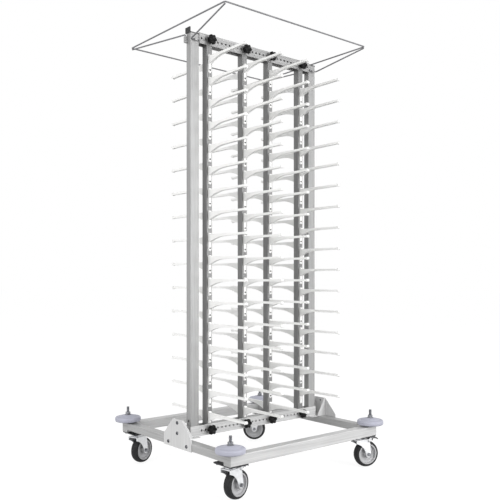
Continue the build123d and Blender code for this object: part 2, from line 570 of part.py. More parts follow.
LEG_INNER = HUB_WIDTH / 2 + FORK_GAP
WHEEL_RADIUS = WHEEL_DIAMETER / 2
PIVOT_LEVEL = WHEEL_DIAMETER + PEDAL_PIVOT_LIFT
eye_front = (CASTER_TRAIL + FORK_EYE_RADIUS, WHEEL_RADIUS)
eye_back = (CASTER_TRAIL - FORK_EYE_RADIUS, WHEEL_RADIUS)
arch_middle = (
    (eye_back[0] - FORK_CROWN_BACK) / 2 + FORK_ARCH,
    (WHEEL_RADIUS + CROWN_LEVEL - FORK_SKIRT) / 2 + FORK_ARCH,
)
for place, (side_x, side_y) in CORNERS.items():
    turn = radians(CASTER_ANGLES[place])
    travel = (cos(turn), sin(turn), 0)
    axle = (-sin(turn), cos(turn), 0)
    base = Plane((side_x * CASTER_X, side_y * CASTER_Y, 0), x_dir=travel, z_dir=(0, 0, 1))
    hub_centre = base.from_local_coords(Vector(CASTER_TRAIL, 0, WHEEL_RADIUS))
    spin = Axis(hub_centre, axle)
    section_plane = Plane(hub_centre, x_dir=axle, z_dir=travel)
    has_pedal = side_y < 0

    with BuildPart() as fork:
        crown_length = FORK_CROWN_BACK + FORK_CROWN_FRONT
        crown_middle = (FORK_CROWN_FRONT - FORK_CROWN_BACK) / 2
        with BuildSketch(base.offset(CROWN_LEVEL)) as crown:
            with Locations((crown_middle, 0)):
                Rectangle(crown_length, 2 * LEG_INNER)
        extrude(amount=FORK_SHEET)
        with BuildSketch(base.offset(CROWN_LEVEL + FORK_SHEET)) as race:
            Circle(SWIVEL_RADIUS)
        extrude(amount=PLATE_LEVEL - SEAT_GAP - CROWN_LEVEL - FORK_SHEET)
        with BuildSketch(base.offset(CROWN_LEVEL)) as pin_bore:
            Circle(KING_PIN_DIAMETER / 2 + KING_PIN_FIT)
        extrude(amount=PLATE_LEVEL - CROWN_LEVEL, mode=Mode.SUBTRACT)
        for flank in (-1, 1):
            leg_face = base.from_local_coords(Vector(0, flank * LEG_INNER, 0))
            leg_plane = Plane(leg_face, x_dir=travel, z_dir=tuple(-a for a in axle))
            with BuildSketch(leg_plane) as leg:
                with BuildLine() as outline:
                    Polyline(
                        (-FORK_CROWN_BACK, CROWN_LEVEL - FORK_SKIRT),
                        (-FORK_CROWN_BACK, CROWN_LEVEL + FORK_SHEET),
                        (FORK_CROWN_FRONT, CROWN_LEVEL + FORK_SHEET),
                        (FORK_CROWN_FRONT + FORK_EYE_RADIUS / 2, CROWN_LEVEL - FORK_SKIRT),
                        eye_front,
                    )
                    ThreePointArc(eye_front, (CASTER_TRAIL, WHEEL_RADIUS - FORK_EYE_RADIUS), eye_back)
                    ThreePointArc(eye_back, arch_middle, (-FORK_CROWN_BACK, CROWN_LEVEL - FORK_SKIRT))
                make_face()
                with Locations((CASTER_TRAIL, WHEEL_RADIUS)):
                    Circle(AXLE_DIAMETER / 2, mode=Mode.SUBTRACT)
            extrude(amount=-flank * FORK_SHEET)
            if has_pedal:
                with BuildSketch(leg_plane) as ear:
                    with Locations((PEDAL_PIVOT_X, PIVOT_LEVEL)):
                        Circle(PEDAL_BARREL_RADIUS)
                    with Locations((FORK_CROWN_FRONT, CROWN_LEVEL - FORK_SKIRT / 2)):
                        Circle(FORK_SKIRT / 2)
                    make_hull()
                extrude(amount=-flank * FORK_SHEET)
        if has_pedal:
            pin_start = base.from_local_coords(Vector(PEDAL_PIVOT_X, -LEG_INNER, PIVOT_LEVEL))
            with BuildSketch(Plane(pin_start, x_dir=travel, z_dir=axle)) as pivot_pin:
                Circle(PEDAL_PIN_DIAMETER / 2)
            extrude(amount=2 * LEG_INNER)
    save(fork, f"{place}_caster_fork")

    with BuildPart() as axle_bolt:
        reach = LEG_INNER + FORK_SHEET
        with BuildSketch(Plane(hub_centre, x_dir=travel, z_dir=axle)) as shank:
            Circle(AXLE_DIAMETER / 2)
        extrude(amount=reach, both=True)
        for flank in (-1, 1):
            head_seat = base.from_local_coords(Vector(CASTER_TRAIL, flank * reach, WHEEL_RADIUS))
            outward = tuple(flank * a for a in axle)
            with BuildSketch(Plane(head_seat, x_dir=travel, z_dir=outward)) as head:
                RegularPolygon(AXLE_HEAD_RADIUS, 6)
            extrude(amount=AXLE_HEAD_HEIGHT)
    save(axle_bolt, f"{place}_caster_axle")

    tyre_bore = WHEEL_RADIUS - TYRE_DEPTH
    with BuildPart() as tyre:
        with BuildSketch(section_plane) as section:
            with BuildLine() as outline:
                half = TYRE_WIDTH / 2
                Polyline(
                    (half, WHEEL_RADIUS - TYRE_CROWN),
                    (half, tyre_bore),
                    (-half, tyre_bore),
                    (-half, WHEEL_RADIUS - TYRE_CROWN),
                )
                ThreePointArc(
                    (-half, WHEEL_RADIUS - TYRE_CROWN), (0, WHEEL_RADIUS), (half, WHEEL_RADIUS - TYRE_CROWN)
                )
            make_face()
        revolve(axis=spin)
    save(tyre, f"{place}_caster_tyre")

    with BuildPart() as hub:
        with BuildSketch(section_plane) as section:
            with BuildLine() as outline:
                bore = AXLE_DIAMETER / 2 + AXLE_FIT
                rim_inner = tyre_bore - HUB_RIM
                Polyline(
                    (-HUB_WIDTH / 2, bore),
                    (-HUB_WIDTH / 2, HUB_BOSS_RADIUS),
                    (-HUB_WEB / 2, HUB_BOSS_RADIUS),
                    (-HUB_WEB / 2, rim_inner),
                    (-TYRE_WIDTH / 2, rim_inner),
                    (-TYRE_WIDTH / 2, tyre_bore),
                    (TYRE_WIDTH / 2, tyre_bore),
                    (TYRE_WIDTH / 2, rim_inner),
                    (HUB_WEB / 2, rim_inner),
                    (HUB_WEB / 2, HUB_BOSS_RADIUS),
                    (HUB_WIDTH / 2, HUB_BOSS_RADIUS),
                    (HUB_WIDTH / 2, bore),
                    close=True,
                )
            make_face()
        revolve(axis=spin)
    save(hub, f"{place}_caster_hub")

    if has_pedal:
        with BuildPart() as pedal:
            side_start = base.from_local_coords(Vector(0, -PEDAL_WIDTH / 2, 0))
            with BuildSketch(Plane(side_start, x_dir=travel, z_dir=tuple(-a for a in axle))) as profile:
                with BuildLine() as outline:
                    Polyline(
                        (PEDAL_PIVOT_X, PIVOT_LEVEL - PEDAL_SHEET / 2),
                        (PEDAL_SHOE_X - PEDAL_SHEET, PIVOT_LEVEL - PEDAL_SHEET / 2),
                        (PEDAL_SHOE_X - PEDAL_SHEET, PIVOT_LEVEL - PEDAL_SHOE_DROP),
                        (PEDAL_SHOE_X, PIVOT_LEVEL - PEDAL_SHOE_DROP),
                        (PEDAL_SHOE_X, PIVOT_LEVEL - PEDAL_SHEET / 2),
                        (PEDAL_REACH - PEDAL_LIP, PIVOT_LEVEL - PEDAL_SHEET / 2),
                        (PEDAL_REACH, PIVOT_LEVEL - PEDAL_LIP),
                        (PEDAL_REACH, PIVOT_LEVEL - PEDAL_LIP + PEDAL_SHEET),
                        (PEDAL_REACH - PEDAL_LIP + PEDAL_SHEET / 2, PIVOT_LEVEL + PEDAL_SHEET / 2),
                        (PEDAL_PIVOT_X, PIVOT_LEVEL + PEDAL_SHEET / 2),
                        close=True,
                    )
                make_face()
                with Locations((PEDAL_PIVOT_X, PIVOT_LEVEL)):
                    Circle(PEDAL_BARREL_RADIUS)
                    Circle(PEDAL_PIN_DIAMETER / 2 + PEDAL_FIT, mode=Mode.SUBTRACT)
            extrude(amount=-PEDAL_WIDTH)
        save(pedal, f"{place}_brake_pedal")

# ---------------------------------------------------------------- cover hoop
# A bent wire rectangle above the rack, on four stays: the rear pair end in pins for the
# tabs, the front pair in level feet for the cradles.
with BuildSketch(Plane.XY.offset(HOOP_LEVEL)) as loop:
    RectangleRounded(HOOP_LENGTH, HOOP_WIDTH, HOOP_BEND)
hoop_path = loop.sketch.face().outer_wire()
with BuildPart() as hoop:
    with BuildSketch(Plane(hoop_path @ 0, z_dir=hoop_path % 0)) as wire:
        Circle(WIRE_DIAMETER / 2)
    sweep(path=hoop_path)
save(hoop, "cover_hoop")

with BuildPart() as stays:
    corner_inset = HOOP_BEND * (1 - sqrt(0.5))
    for side_x, side_y in CORNERS.values():
        corner = (
            side_x * (HOOP_LENGTH / 2 - corner_inset),
            side_y * (HOOP_WIDTH / 2 - corner_inset),
            HOOP_LEVEL - WIRE_DIAMETER - SEAT_GAP,
        )
        if side_y < 0:
            landing = (side_x * (UPRIGHT_X + UPRIGHT_WIDTH / 2), CRADLE_Y, CRADLE_LEVEL)
            end = (side_x * (UPRIGHT_X - UPRIGHT_WIDTH / 2), CRADLE_Y, CRADLE_LEVEL)
        else:
            pin_x = side_x * (UPRIGHT_X + UPRIGHT_WIDTH / 2 + SOCKET_STANDOFF)
            landing = (pin_x, RACK_Y + SOCKET_OFFSET, SOCKET_TOP + STAY_LANDING)
            end = (pin_x, RACK_Y + SOCKET_OFFSET, SOCKET_TOP - PIN_LENGTH)
        with BuildLine() as path:
            FilletPolyline(corner, landing, end, radius=STAY_BEND)
        with BuildSketch(Plane(path.line @ 0, z_dir=path.line % 0)) as wire:
            Circle(WIRE_DIAMETER / 2)
        sweep()
save(stays, "hoop_stays")
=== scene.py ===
"""Plate rack cart: dresses the CAD model with its finishes, moulded pieces and fasteners."""

import json
import logging
import math
from abc import ABC, abstractmethod
from cmath import phase
from collections.abc import Callable, Sequence
from dataclasses import dataclass
from enum import Enum
from functools import partial

import bmesh
import bpy
from mathutils import Matrix, Vector

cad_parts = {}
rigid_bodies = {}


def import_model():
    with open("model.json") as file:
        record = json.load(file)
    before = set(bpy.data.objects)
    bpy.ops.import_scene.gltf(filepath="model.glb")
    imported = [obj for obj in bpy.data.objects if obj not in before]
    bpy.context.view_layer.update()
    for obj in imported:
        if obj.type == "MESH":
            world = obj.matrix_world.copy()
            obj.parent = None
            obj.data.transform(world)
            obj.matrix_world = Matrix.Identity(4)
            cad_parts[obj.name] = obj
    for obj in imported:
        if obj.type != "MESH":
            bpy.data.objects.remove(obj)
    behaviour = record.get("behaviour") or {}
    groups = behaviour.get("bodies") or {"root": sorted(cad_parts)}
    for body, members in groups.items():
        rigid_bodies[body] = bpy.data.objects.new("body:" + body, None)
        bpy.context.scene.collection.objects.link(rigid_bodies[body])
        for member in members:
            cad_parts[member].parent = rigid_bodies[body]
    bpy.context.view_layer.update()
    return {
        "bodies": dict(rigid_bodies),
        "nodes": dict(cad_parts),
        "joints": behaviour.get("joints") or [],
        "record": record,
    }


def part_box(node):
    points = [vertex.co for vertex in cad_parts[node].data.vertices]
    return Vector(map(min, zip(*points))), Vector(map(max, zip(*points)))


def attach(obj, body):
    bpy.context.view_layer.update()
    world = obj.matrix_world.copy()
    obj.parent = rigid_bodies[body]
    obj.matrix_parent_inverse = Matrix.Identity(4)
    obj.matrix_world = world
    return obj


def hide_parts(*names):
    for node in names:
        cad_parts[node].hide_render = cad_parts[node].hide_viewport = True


LOG = logging.getLogger("plate_rack")
# Edges sharper than this stay sharp, in degrees.
SMOOTH_ANGLE = 38.0
# The least and the most that a noise gives, about.
NOISE_RANGE = (0.25, 0.75)
UP = Vector((0, 0, 1))
Colour = tuple[float, float, float, float]
Point2 = tuple[float, float]
Point3 = tuple[float, float, float]
Profile = Sequence[Point2]
Tree = bpy.types.NodeTree
Node = bpy.types.Node
Socket = bpy.types.NodeSocket
Piece = bpy.types.Object
Shell = bmesh.types.BMesh


class Grain(Enum):
    """The way a brushed surface's lines run, as the scale of its noise along X, Y and Z."""

    ALONG_X = (4.0, 260.0, 260.0)
    ALONG_Y = (260.0, 4.0, 260.0)
    ALONG_Z = (260.0, 260.0, 4.0)


class Facing(Enum):
    """The side of the rack that a row of arms stands on."""

    FRONT = -1
    REAR = 1


# ------------------------------------------------------------------ node helpers


def srgb(code: str) -> Colour:
    """Turn an sRGB hex colour into linear values.

    Args:
        code: the colour as six hex digits, with or without a hash.

    Returns:
        Linear red, green, blue and an alpha of 1.
    """
    digits = code.lstrip("#")
    channels = [int(digits[i : i + 2], 16) / 255 for i in (0, 2, 4)]
    linear = [c / 12.92 if c <= 0.04045 else ((c + 0.055) / 1.055) ** 2.4 for c in channels]
    return (linear[0], linear[1], linear[2], 1.0)


def add_node(
    tree: Tree,
    kind: str,
    settings: dict[str, object] | None = None,
    inputs: dict[str | int, object] | None = None,
) -> Node:
    """Add a node, set its properties, and set or link its inputs.

    Args:
        tree: the node tree that gets the node.
        kind: the node's type name.
        settings: property names and their values.
        inputs: socket names or numbers, each with a value or with what feeds it, which is a
            socket or a node whose first output does.

    Returns:
        The new node.
    """
    node = tree.nodes.new(kind)
    for name, value in (settings or {}).items():
        setattr(node, name, value)
    for key, value in (inputs or {}).items():
        if isinstance(value, (Node, Socket)):
            source = value.outputs[0] if isinstance(value, Node) else value
            tree.links.new(source, node.inputs[key])
        else:
            node.inputs[key].default_value = value
    return node


def camera_mask(tree: Tree) -> Node:
    """Add a mask that is 1 where a thing is seen, mirrored or seen through.

    Args:
        tree: the material's or the world's tree.

    Returns:
        The node that gives the mask.
    """
    rays = add_node(tree, "ShaderNodeLightPath").outputs
    mask = rays["Is Camera Ray"]
    for ray in ("Is Glossy Ray", "Is Transmission Ray"):
        mask = add_node(tree, "ShaderNodeMath", {"operation": "MAXIMUM"}, {0: mask, 1: rays[ray]})
    return mask


def cleared_tree(owner: bpy.types.Material | bpy.types.World) -> Tree:
    """Give a material or a world an empty node tree.

    Args:
        owner: the material or world.

    Returns:
        The tree.
    """
    owner.use_nodes = True
    owner.node_tree.nodes.clear()
    return owner.node_tree


# ------------------------------------------------------------------ finishes


class Finish(ABC):
    """A surface finish that builds its own material once."""

    name: str

    def material(self) -> bpy.types.Material:
        """Build the finish's material on first use.

        Returns:
            The material.
        """
        found = bpy.data.materials.get(self.name)
        if found is None:
            found = bpy.data.materials.new(self.name)
            tree = cleared_tree(found)
            shader = add_node(tree, "ShaderNodeBsdfPrincipled", inputs=self.surface(tree))
            add_node(tree, "ShaderNodeOutputMaterial", inputs={"Surface": shader})
        return found

    @abstractmethod
    def surface(self, tree: Tree) -> dict[str, object]:
        """Add the nodes of the finish's pattern.

        Args:
            tree: the material's empty tree.

        Returns:
            The principled shader's inputs.
        """


def surface_noise(tree: Tree, scale: Point3, detail: float, roughness: float) -> Node:
    """Add a noise on the object's own coordinates.

    Args:
        tree: the material's tree.
        scale: noise cells per metre along X, Y and Z.
        detail: the noise's octaves.
        roughness: how strong the fine octaves are.

    Returns:
        The noise's node.
    """
    place = add_node(tree, "ShaderNodeTexCoord").outputs["Object"]
    mapped = add_node(tree, "ShaderNodeMapping", inputs={"Vector": place, "Scale": scale})
    inputs = {"Vector": mapped, "Scale": 1.0, "Detail": detail, "Roughness": roughness}
    return add_node(tree, "ShaderNodeTexNoise", inputs=inputs)


def blend_colours(tree: Tree, mask: Node, ends: Point2, dark: str, light: str) -> Node:
    """Blend two colours by a mask.

    Args:
        tree: the material's tree.
        mask: the value that drives the blend.
        ends: the mask's values at the dark and at the light colour.
        dark: the first colour, in hex.
        light: the second colour, in hex.

    Returns:
        The node that gives the colour.
    """
    ramp = add_node(tree, "ShaderNodeValToRGB", inputs={"Fac": mask})
    for element, position, code in zip(ramp.color_ramp.elements, ends, (dark, light)):
        element.position = position
        element.color = srgb(code)
    return ramp


def spread(tree: Tree, mask: Node, low: float, high: float) -> Node:
    """Map a noise to a range of values.

    Args:
        tree: the material's tree.
        mask: the noise.
        low: the value at the least that it gives.
        high: the value at the most.

    Returns:
        The node that gives the value.
    """
    least, most = NOISE_RANGE
    inputs = {"Value": mask, "From Min": least, "From Max": most, "To Min": low, "To Max": high}
    return add_node(tree, "ShaderNodeMapRange", inputs=inputs)


def bump(tree: Tree, height: Node, depth: float) -> Node:
    """Raise the shading by a height mask, whose full relief is the depth in metres."""
    inputs = {"Height": height, "Strength": 1.0, "Distance": depth}
    return add_node(tree, "ShaderNodeBump", inputs=inputs)


@dataclass(frozen=True)
class BrushedStainless(Finish):
    """Stainless tube, belt-brushed along its length.

    The lines are drawn about 4 mm apart, coarser than real brushing, so that they show. The
    eye sees soft streaks along each tube and a broad sheen across it.
    """

    name: str
    grain: Grain
    dark: str
    light: str
    line_noise: Point2 = (5.0, 0.6)
    cloud_cells: Point3 = (5.0, 5.0, 1.6)
    cloud_noise: Point2 = (2.0, 0.5)
    cloud_share: float = 0.25
    tone_ends: Point2 = (0.36, 0.64)
    rough: Point2 = (0.34, 0.48)
    relief: float = 0.00006

    def surface(self, tree: Tree) -> dict[str, object]:
        """Draw streaks along the grain and faint clouds.

        Args:
            tree: the material's empty tree.

        Returns:
            The principled shader's inputs.
        """
        lines = surface_noise(tree, self.grain.value, *self.line_noise)
        clouds = surface_noise(tree, self.cloud_cells, *self.cloud_noise)
        inputs = {"Factor": self.cloud_share, "A": lines, "B": clouds}
        both = add_node(tree, "ShaderNodeMix", {"data_type": "FLOAT"}, inputs)
        return {
            "Base Color": blend_colours(tree, both, self.tone_ends, self.dark, self.light),
            "Metallic": 0.3,
            "Roughness": spread(tree, lines, *self.rough),
            "Specular IOR Level": 0.2,
            "Normal": bump(tree, lines, self.relief),
        }


@dataclass(frozen=True)
class PlatedSteel(Finish):
    """Pressed or turned steel under zinc or nickel: the eye sees smooth metal, faintly clouded."""

    name: str
    dark: str
    light: str
    rough: float
    metallic: float = 0.6
    cells: float = 60.0
    noise: Point2 = (4.0, 0.55)
    tone_ends: Point2 = (0.3, 0.7)
    smoother: float = 0.05
    rougher: float = 0.08

    def surface(self, tree: Tree) -> dict[str, object]:
        """Let the metal's tone and gloss drift in clouds.

        Args:
            tree: the material's empty tree.

        Returns:
            The principled shader's inputs.
        """
        clouds = surface_noise(tree, (self.cells,) * 3, *self.noise)
        low, high = self.rough - self.smoother, self.rough + self.rougher
        return {
            "Base Color": blend_colours(tree, clouds, self.tone_ends, self.dark, self.light),
            "Metallic": self.metallic,
            "Roughness": spread(tree, clouds, low, high),
        }


@dataclass(frozen=True)
class Moulding(Finish):
    """Moulded plastic: the eye sees an even colour that drifts a little, and a fine eggshell."""

    name: str
    base: str
    drift: str
    rough: float
    grain_mm: float = 0.8
    relief: float = 0.00002
    gloss: float = 0.5
    drift_cells: float = 9.0
    noise: Point2 = (2.0, 0.5)
    tone_ends: Point2 = (0.3, 0.7)
    rougher: float = 0.07

    def surface(self, tree: Tree) -> dict[str, object]:
        """Let the plastic's tone drift over its fine relief.

        Args:
            tree: the material's empty tree.

        Returns:
            The principled shader's inputs.
        """
        drift = surface_noise(tree, (self.drift_cells,) * 3, *self.noise)
        shell = surface_noise(tree, (1000 / self.grain_mm,) * 3, *self.noise)
        return {
            "Base Color": blend_colours(tree, drift, self.tone_ends, self.drift, self.base),
            "Roughness": spread(tree, drift, self.rough, self.rough + self.rougher),
            "IOR": 1.5,
            "Specular IOR Level": self.gloss,
            "Normal": bump(tree, shell, self.relief),
        }


@dataclass(frozen=True)
class TyreRubber(Finish):
    """Solid rubber tread: the eye sees a near-black matt, scuffed paler in patches of 8 mm."""

    name: str = "tyre_rubber"
    dark: str = "#171718"
    light: str = "#303032"
    rough: Point2 = (0.62, 0.8)
    cells: float = 120.0
    noise: Point2 = (5.0, 0.65)
    tone_ends: Point2 = (0.35, 0.7)
    relief: float = 0.00015

    def surface(self, tree: Tree) -> dict[str, object]:
        """Draw the scuffs.

        Args:
            tree: the material's empty tree.

        Returns:
            The principled shader's inputs.
        """
        scuffs = surface_noise(tree, (self.cells,) * 3, *self.noise)
        return {
            "Base Color": blend_colours(tree, scuffs, self.tone_ends, self.dark, self.light),
            "Roughness": spread(tree, scuffs, *self.rough),
            "IOR": 1.5,
            "Specular IOR Level": 0.25,
            "Normal": bump(tree, scuffs, self.relief),
        }


# Painted light and shade: the brushed steels are lit and shaded copies of one steel. Their tones
# fall from the front of the rack inwards, as the light between the arms does, with the brackets'
# sheet lightest and the posts darkest.
LIT_TUBE_X = BrushedStainless("brushed_tube_x", Grain.ALONG_X, "#b9b9b9", "#d1d1d1")
HALF_SHADED_TUBE_Y = BrushedStainless("brushed_tube_y", Grain.ALONG_Y, "#9f9f9f", "#b9b9b9")
SHADED_TUBE_Z = BrushedStainless("brushed_tube_z", Grain.ALONG_Z, "#919191", "#a9a9a9")
SHADED_RAIL_X = BrushedStainless("brushed_rail_x", Grain.ALONG_X, "#8f8f8f", "#aaaaaa")
SHADED_POST_Z = BrushedStainless("brushed_post_z", Grain.ALONG_Z, "#717171", "#8f8f8f")
LIT_SHEET_Z = BrushedStainless("brushed_sheet_z", Grain.ALONG_Z, "#c6c6c6", "#d8d8d8")
ZINC = PlatedSteel("zinc_plated_steel", "#d9dadc", "#ebecee", 0.34)
NICKEL = PlatedSteel("nickel_plated_steel", "#66676b", "#a2a3a8", 0.22, 0.85)
# Painted shade: the bracket screw heads are darkened for the shadow rings around them.
SHADED_BOLT_STEEL = PlatedSteel("dull_bolt_steel", "#46474a", "#6d6e72", 0.3, 0.85)
# Painted shade: the caster plates are drawn dark for the shadow gap under the base tubes, and the
# arm screws take the same dark steel.
DARK_SCREW_AND_SHADED_PLATE = PlatedSteel("blackened_steel", "#2b2b2e", "#3b3b3e", 0.45, 0.5)
NYLON = Moulding("white_nylon", "#f8f8f7", "#f2f2f0", 0.42)
BUMPER_GREY = Moulding("grey_bumper_rubber", "#b3b4c2", "#a8a9b6", 0.5, 1.2, 0.00004)
KNOB_BLACK = Moulding("black_phenolic", "#0c0c0d", "#070708", 0.28, 2.0, 0.0, 0.12)
CAP_BLACK = Moulding("black_polyamide", "#1f1f20", "#161617", 0.4)
HUB_GREY = Moulding("grey_polyamide", "#b6b6b8", "#a8a8aa", 0.45)
WIRE_COAT = Moulding("dark_wire_coat", "#808083", "#6e6e71", 0.35)
PEDAL_COAT = Moulding("black_pedal_coat", "#1d1d1f", "#141415", 0.35)
TYRE = TyreRubber()


# ------------------------------------------------------------------ mesh helpers


def link_object(name: str, data: bpy.types.ID) -> Piece:
    """Link a new object.

    Args:
        name: the object's name.
        data: its mesh, light or camera.

    Returns:
        The object, at the origin.
    """
    made = bpy.data.objects.new(name, data)
    bpy.context.scene.collection.objects.link(made)
    return made


def smooth_object(name: str, mesh: bpy.types.Mesh, smooth_angle: float = SMOOTH_ANGLE) -> Piece:
    """Link a mesh that is smooth but for its sharp edges.

    Args:
        name: the object's name.
        mesh: its mesh.
        smooth_angle: edges sharper than this stay sharp, in degrees.

    Returns:
        The new object, at the origin.
    """
    for face in mesh.polygons:
        face.use_smooth = True
    mesh.set_sharp_from_angle(angle=math.radians(smooth_angle))
    return link_object(name, mesh)


def finished_piece(
    name: str, shell: Shell, finish: Finish, smooth_angle: float = SMOOTH_ANGLE
) -> Piece:
    """Turn a bmesh into a linked object with its finish and its faces outwards.

    Args:
        name: the object's name.
        shell: the mesh, which is freed here.
        finish: the finish of every face.
        smooth_angle: edges sharper than this stay sharp, in degrees.

    Returns:
        The new object, at the origin.
    """
    bmesh.ops.recalc_face_normals(shell, faces=shell.faces)
    mesh = bpy.data.meshes.new(name)
    shell.to_mesh(mesh)
    shell.free()
    mesh.materials.append(finish.material())
    return smooth_object(name, mesh, smooth_angle)


def seat(piece: Piece, body: str, *nodes: str) -> Piece:
    """Ride a piece on its body in place of its CAD nodes.

    Args:
        piece: the finished piece.
        body: the CAD body that carries it.
        nodes: the CAD nodes it stands for.

    Returns:
        The same piece.
    """
    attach(piece, body)
    if nodes:
        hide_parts(*nodes)
    LOG.info("%s rides on %s, %d faces", piece.name, body, len(piece.data.polygons))
    return piece


def axes_at(origin: Vector, x_axis: Vector, y_axis: Vector, z_axis: Vector) -> Matrix:
    """Return the matrix of the frame with that origin and those axes."""
    return Matrix.Translation(origin) @ Matrix((x_axis, y_axis, z_axis)).transposed().to_4x4()


def turned_frame(origin: Vector, axis: Vector, across: Vector | None = None) -> Matrix:
    """Build the matrix that puts local Z on an axis.

    Args:
        origin: the local origin's place.
        axis: the direction of local Z.
        across: the direction of local X, or None for any.

    Returns:
        A 4 by 4 matrix.
    """
    up = axis.normalized()
    side = across or (Vector((1, 0, 0)) if abs(up.x) < 0.9 else Vector((0, 1, 0)))
    side = (side - up * side.dot(up)).normalized()
    return axes_at(origin, side, up.cross(side), up)


def moved(points: Profile, x: float, y: float) -> list[Point2]:
    """Return the points moved by x and y."""
    return [(x + along, y + rise) for along, rise in points]


def ring_stack(shell: Shell, rings: Sequence[Sequence[Vector]], closed: bool = False) -> None:
    """Skin a stack of rings of equal count.

    Args:
        shell: the bmesh that gets the faces.
        rings: the rings' points, in order.
        closed: whether the last ring joins the first, or else both ends get a face.
    """
    made = [[shell.verts.new(point) for point in ring] for ring in rings]
    count = len(made[0])
    pairs = list(zip(made, made[1:]))
    if closed:
        pairs.append((made[-1], made[0]))
    else:
        shell.faces.new(list(reversed(made[0])))
        shell.faces.new(made[-1])
    for low, high in pairs:
        for i in range(count):
            j = (i + 1) % count
            shell.faces.new((low[i], low[j], high[j], high[i]))


def lathe(
    shell: Shell,
    profile: Profile,
    place: Matrix,
    segments: int,
    closed: bool = False,
    radius_at: Callable[[float, float], float] | None = None,
) -> None:
    """Turn a profile round local Z.

    Args:
        shell: the bmesh that gets the faces.
        profile: radius and height pairs, in order along the profile.
        place: the matrix that puts the turned shape in the row frame.
        segments: the steps round the axis.
        closed: whether the profile closes on itself, as a tyre's does.
        radius_at: an optional rule from radius and angle to radius, for lobes.
    """
    rings = []
    for radius, height in profile:
        ring = []
        for i in range(segments):
            angle = 2 * math.pi * i / segments
            r = radius_at(radius, angle) if radius_at else radius
            ring.append(place @ Vector((r * math.cos(angle), r * math.sin(angle), height)))
        rings.append(ring)
    ring_stack(shell, rings, closed)


def prism(
    shell: Shell,
    outline: Profile,
    place: Matrix,
    depth: float,
    edge: float,
    steps: int = 2,
) -> None:
    """Extrude an outline along local Z and round its edges.

    Args:
        shell: the bmesh that gets the faces.
        outline: the points in local X and Y.
        place: the matrix that puts the prism in the row frame.
        depth: its length along local Z.
        edge: the rounding's size.
        steps: the rounding's segments.
    """
    part = bmesh.new()
    ring_stack(part, [[Vector((x, y, level)) for x, y in outline] for level in (0.0, depth)])
    sharp = [e for e in part.edges if e.calc_face_angle(0.0) > math.radians(30)]
    bmesh.ops.bevel(part, geom=sharp, offset=edge, segments=steps, profile=0.5, affect="EDGES")
    part.transform(place)
    scratch = bpy.data.meshes.new("scratch")
    part.to_mesh(scratch)
    part.free()
    shell.from_mesh(scratch)
    bpy.data.meshes.remove(scratch)


def arc(centre: Point2, radius: float, start: float, end: float, steps: int) -> list[Point2]:
    """List an arc's points between two angles in degrees, both ends among them."""
    angles = [math.radians(start + (end - start) * i / steps) for i in range(steps + 1)]
    return [(centre[0] + radius * math.cos(a), centre[1] + radius * math.sin(a)) for a in angles]


def arc_through(first: Point2, middle: Point2, last: Point2, steps: int) -> list[Point2]:
    """List points on the arc through three points.

    Args:
        first: where the arc starts.
        middle: a point that it passes.
        last: where it ends.
        steps: the number of chords.

    Returns:
        The points, both ends among them.
    """
    a, b, c = (complex(*point) for point in (first, middle, last))
    lean = (c - a) / (b - a)
    centre = a + (b - a) * (lean - abs(lean) ** 2) / (2j * lean.imag)
    start, end = (math.degrees(phase(point - centre)) for point in (a, c))
    if lean.imag > 0 and end < start:
        end += 360
    if lean.imag < 0 and end > start:
        end -= 360
    return arc((centre.real, centre.imag), abs(a - centre), start, end, steps)


def hexagon(radius: float, turn: float = 0.0) -> list[Point2]:
    """Return a hexagon's corners at a radius, turned by some degrees."""
    return arc((0.0, 0.0), radius, turn, turn + 300, 5)


# ------------------------------------------------------------------ geometry node trees


class NodeTool:
    """A geometry node tree with named inputs, applied to a mesh and then taken off."""

    def __init__(self, name: str, inputs: dict[str, str]) -> None:
        """Start the tree.

        Args:
            name: the tree's name.
            inputs: each input's socket type, between the geometry and the finish.
        """
        self.tree = bpy.data.node_groups.new(name, "GeometryNodeTree")
        self.add = partial(add_node, self.tree)
        face = self.tree.interface
        sockets = {"Geometry": "NodeSocketGeometry", **inputs, "Finish": "NodeSocketMaterial"}
        for label, kind in sockets.items():
            face.new_socket(label, in_out="INPUT", socket_type=kind)
        face.new_socket("Geometry", in_out="OUTPUT", socket_type="NodeSocketGeometry")
        self.given = self.add("NodeGroupInput").outputs

    def finish(self, shape: Node) -> "NodeTool":
        """End the tree in Realize Instances and Set Material.

        Args:
            shape: the node that gives the geometry.

        Returns:
            This tool.
        """
        real = self.add("GeometryNodeRealizeInstances", inputs={"Geometry": shape})
        inputs = {"Geometry": real, "Material": self.given["Finish"]}
        dressed = self.add("GeometryNodeSetMaterial", inputs=inputs)
        self.add("NodeGroupOutput", inputs={0: dressed})
        return self

    def grow(self, name: str, seed: Piece, values: dict[str, object]) -> Piece:
        """Run the tree on an object and keep the result as a plain mesh.

        Args:
            name: the new piece's name.
            seed: the object that the tree starts from, which is removed.
            values: the inputs' values by name.

        Returns:
            The plain mesh object.
        """
        modifier = seed.modifiers.new("tool", "NODES")
        modifier.node_group = self.tree
        for item in self.tree.interface.items_tree:
            if item.in_out == "INPUT" and item.name in values:
                modifier[item.identifier] = values[item.name]
        bpy.context.view_layer.update()
        graph = bpy.context.evaluated_depsgraph_get()
        mesh = bpy.data.meshes.new_from_object(seed.evaluated_get(graph), depsgraph=graph)
        bare = seed.data
        bpy.data.objects.remove(seed)
        bpy.data.meshes.remove(bare)
        mesh.name = name
        return smooth_object(name, mesh)


def row_tool() -> NodeTool:
    """Build the tree that repeats a mesh along a line.

    Returns:
        The tool.
    """
    tool = NodeTool("row_of_pieces", {"Count": "NodeSocketInt", "Step": "NodeSocketVector"})
    inputs = {"Count": tool.given["Count"], "Offset": tool.given["Step"]}
    line = tool.add("GeometryNodeMeshLine", {"mode": "OFFSET"}, inputs)
    inputs = {"Points": line, "Instance": tool.given["Geometry"]}
    return tool.finish(tool.add("GeometryNodeInstanceOnPoints", inputs=inputs))


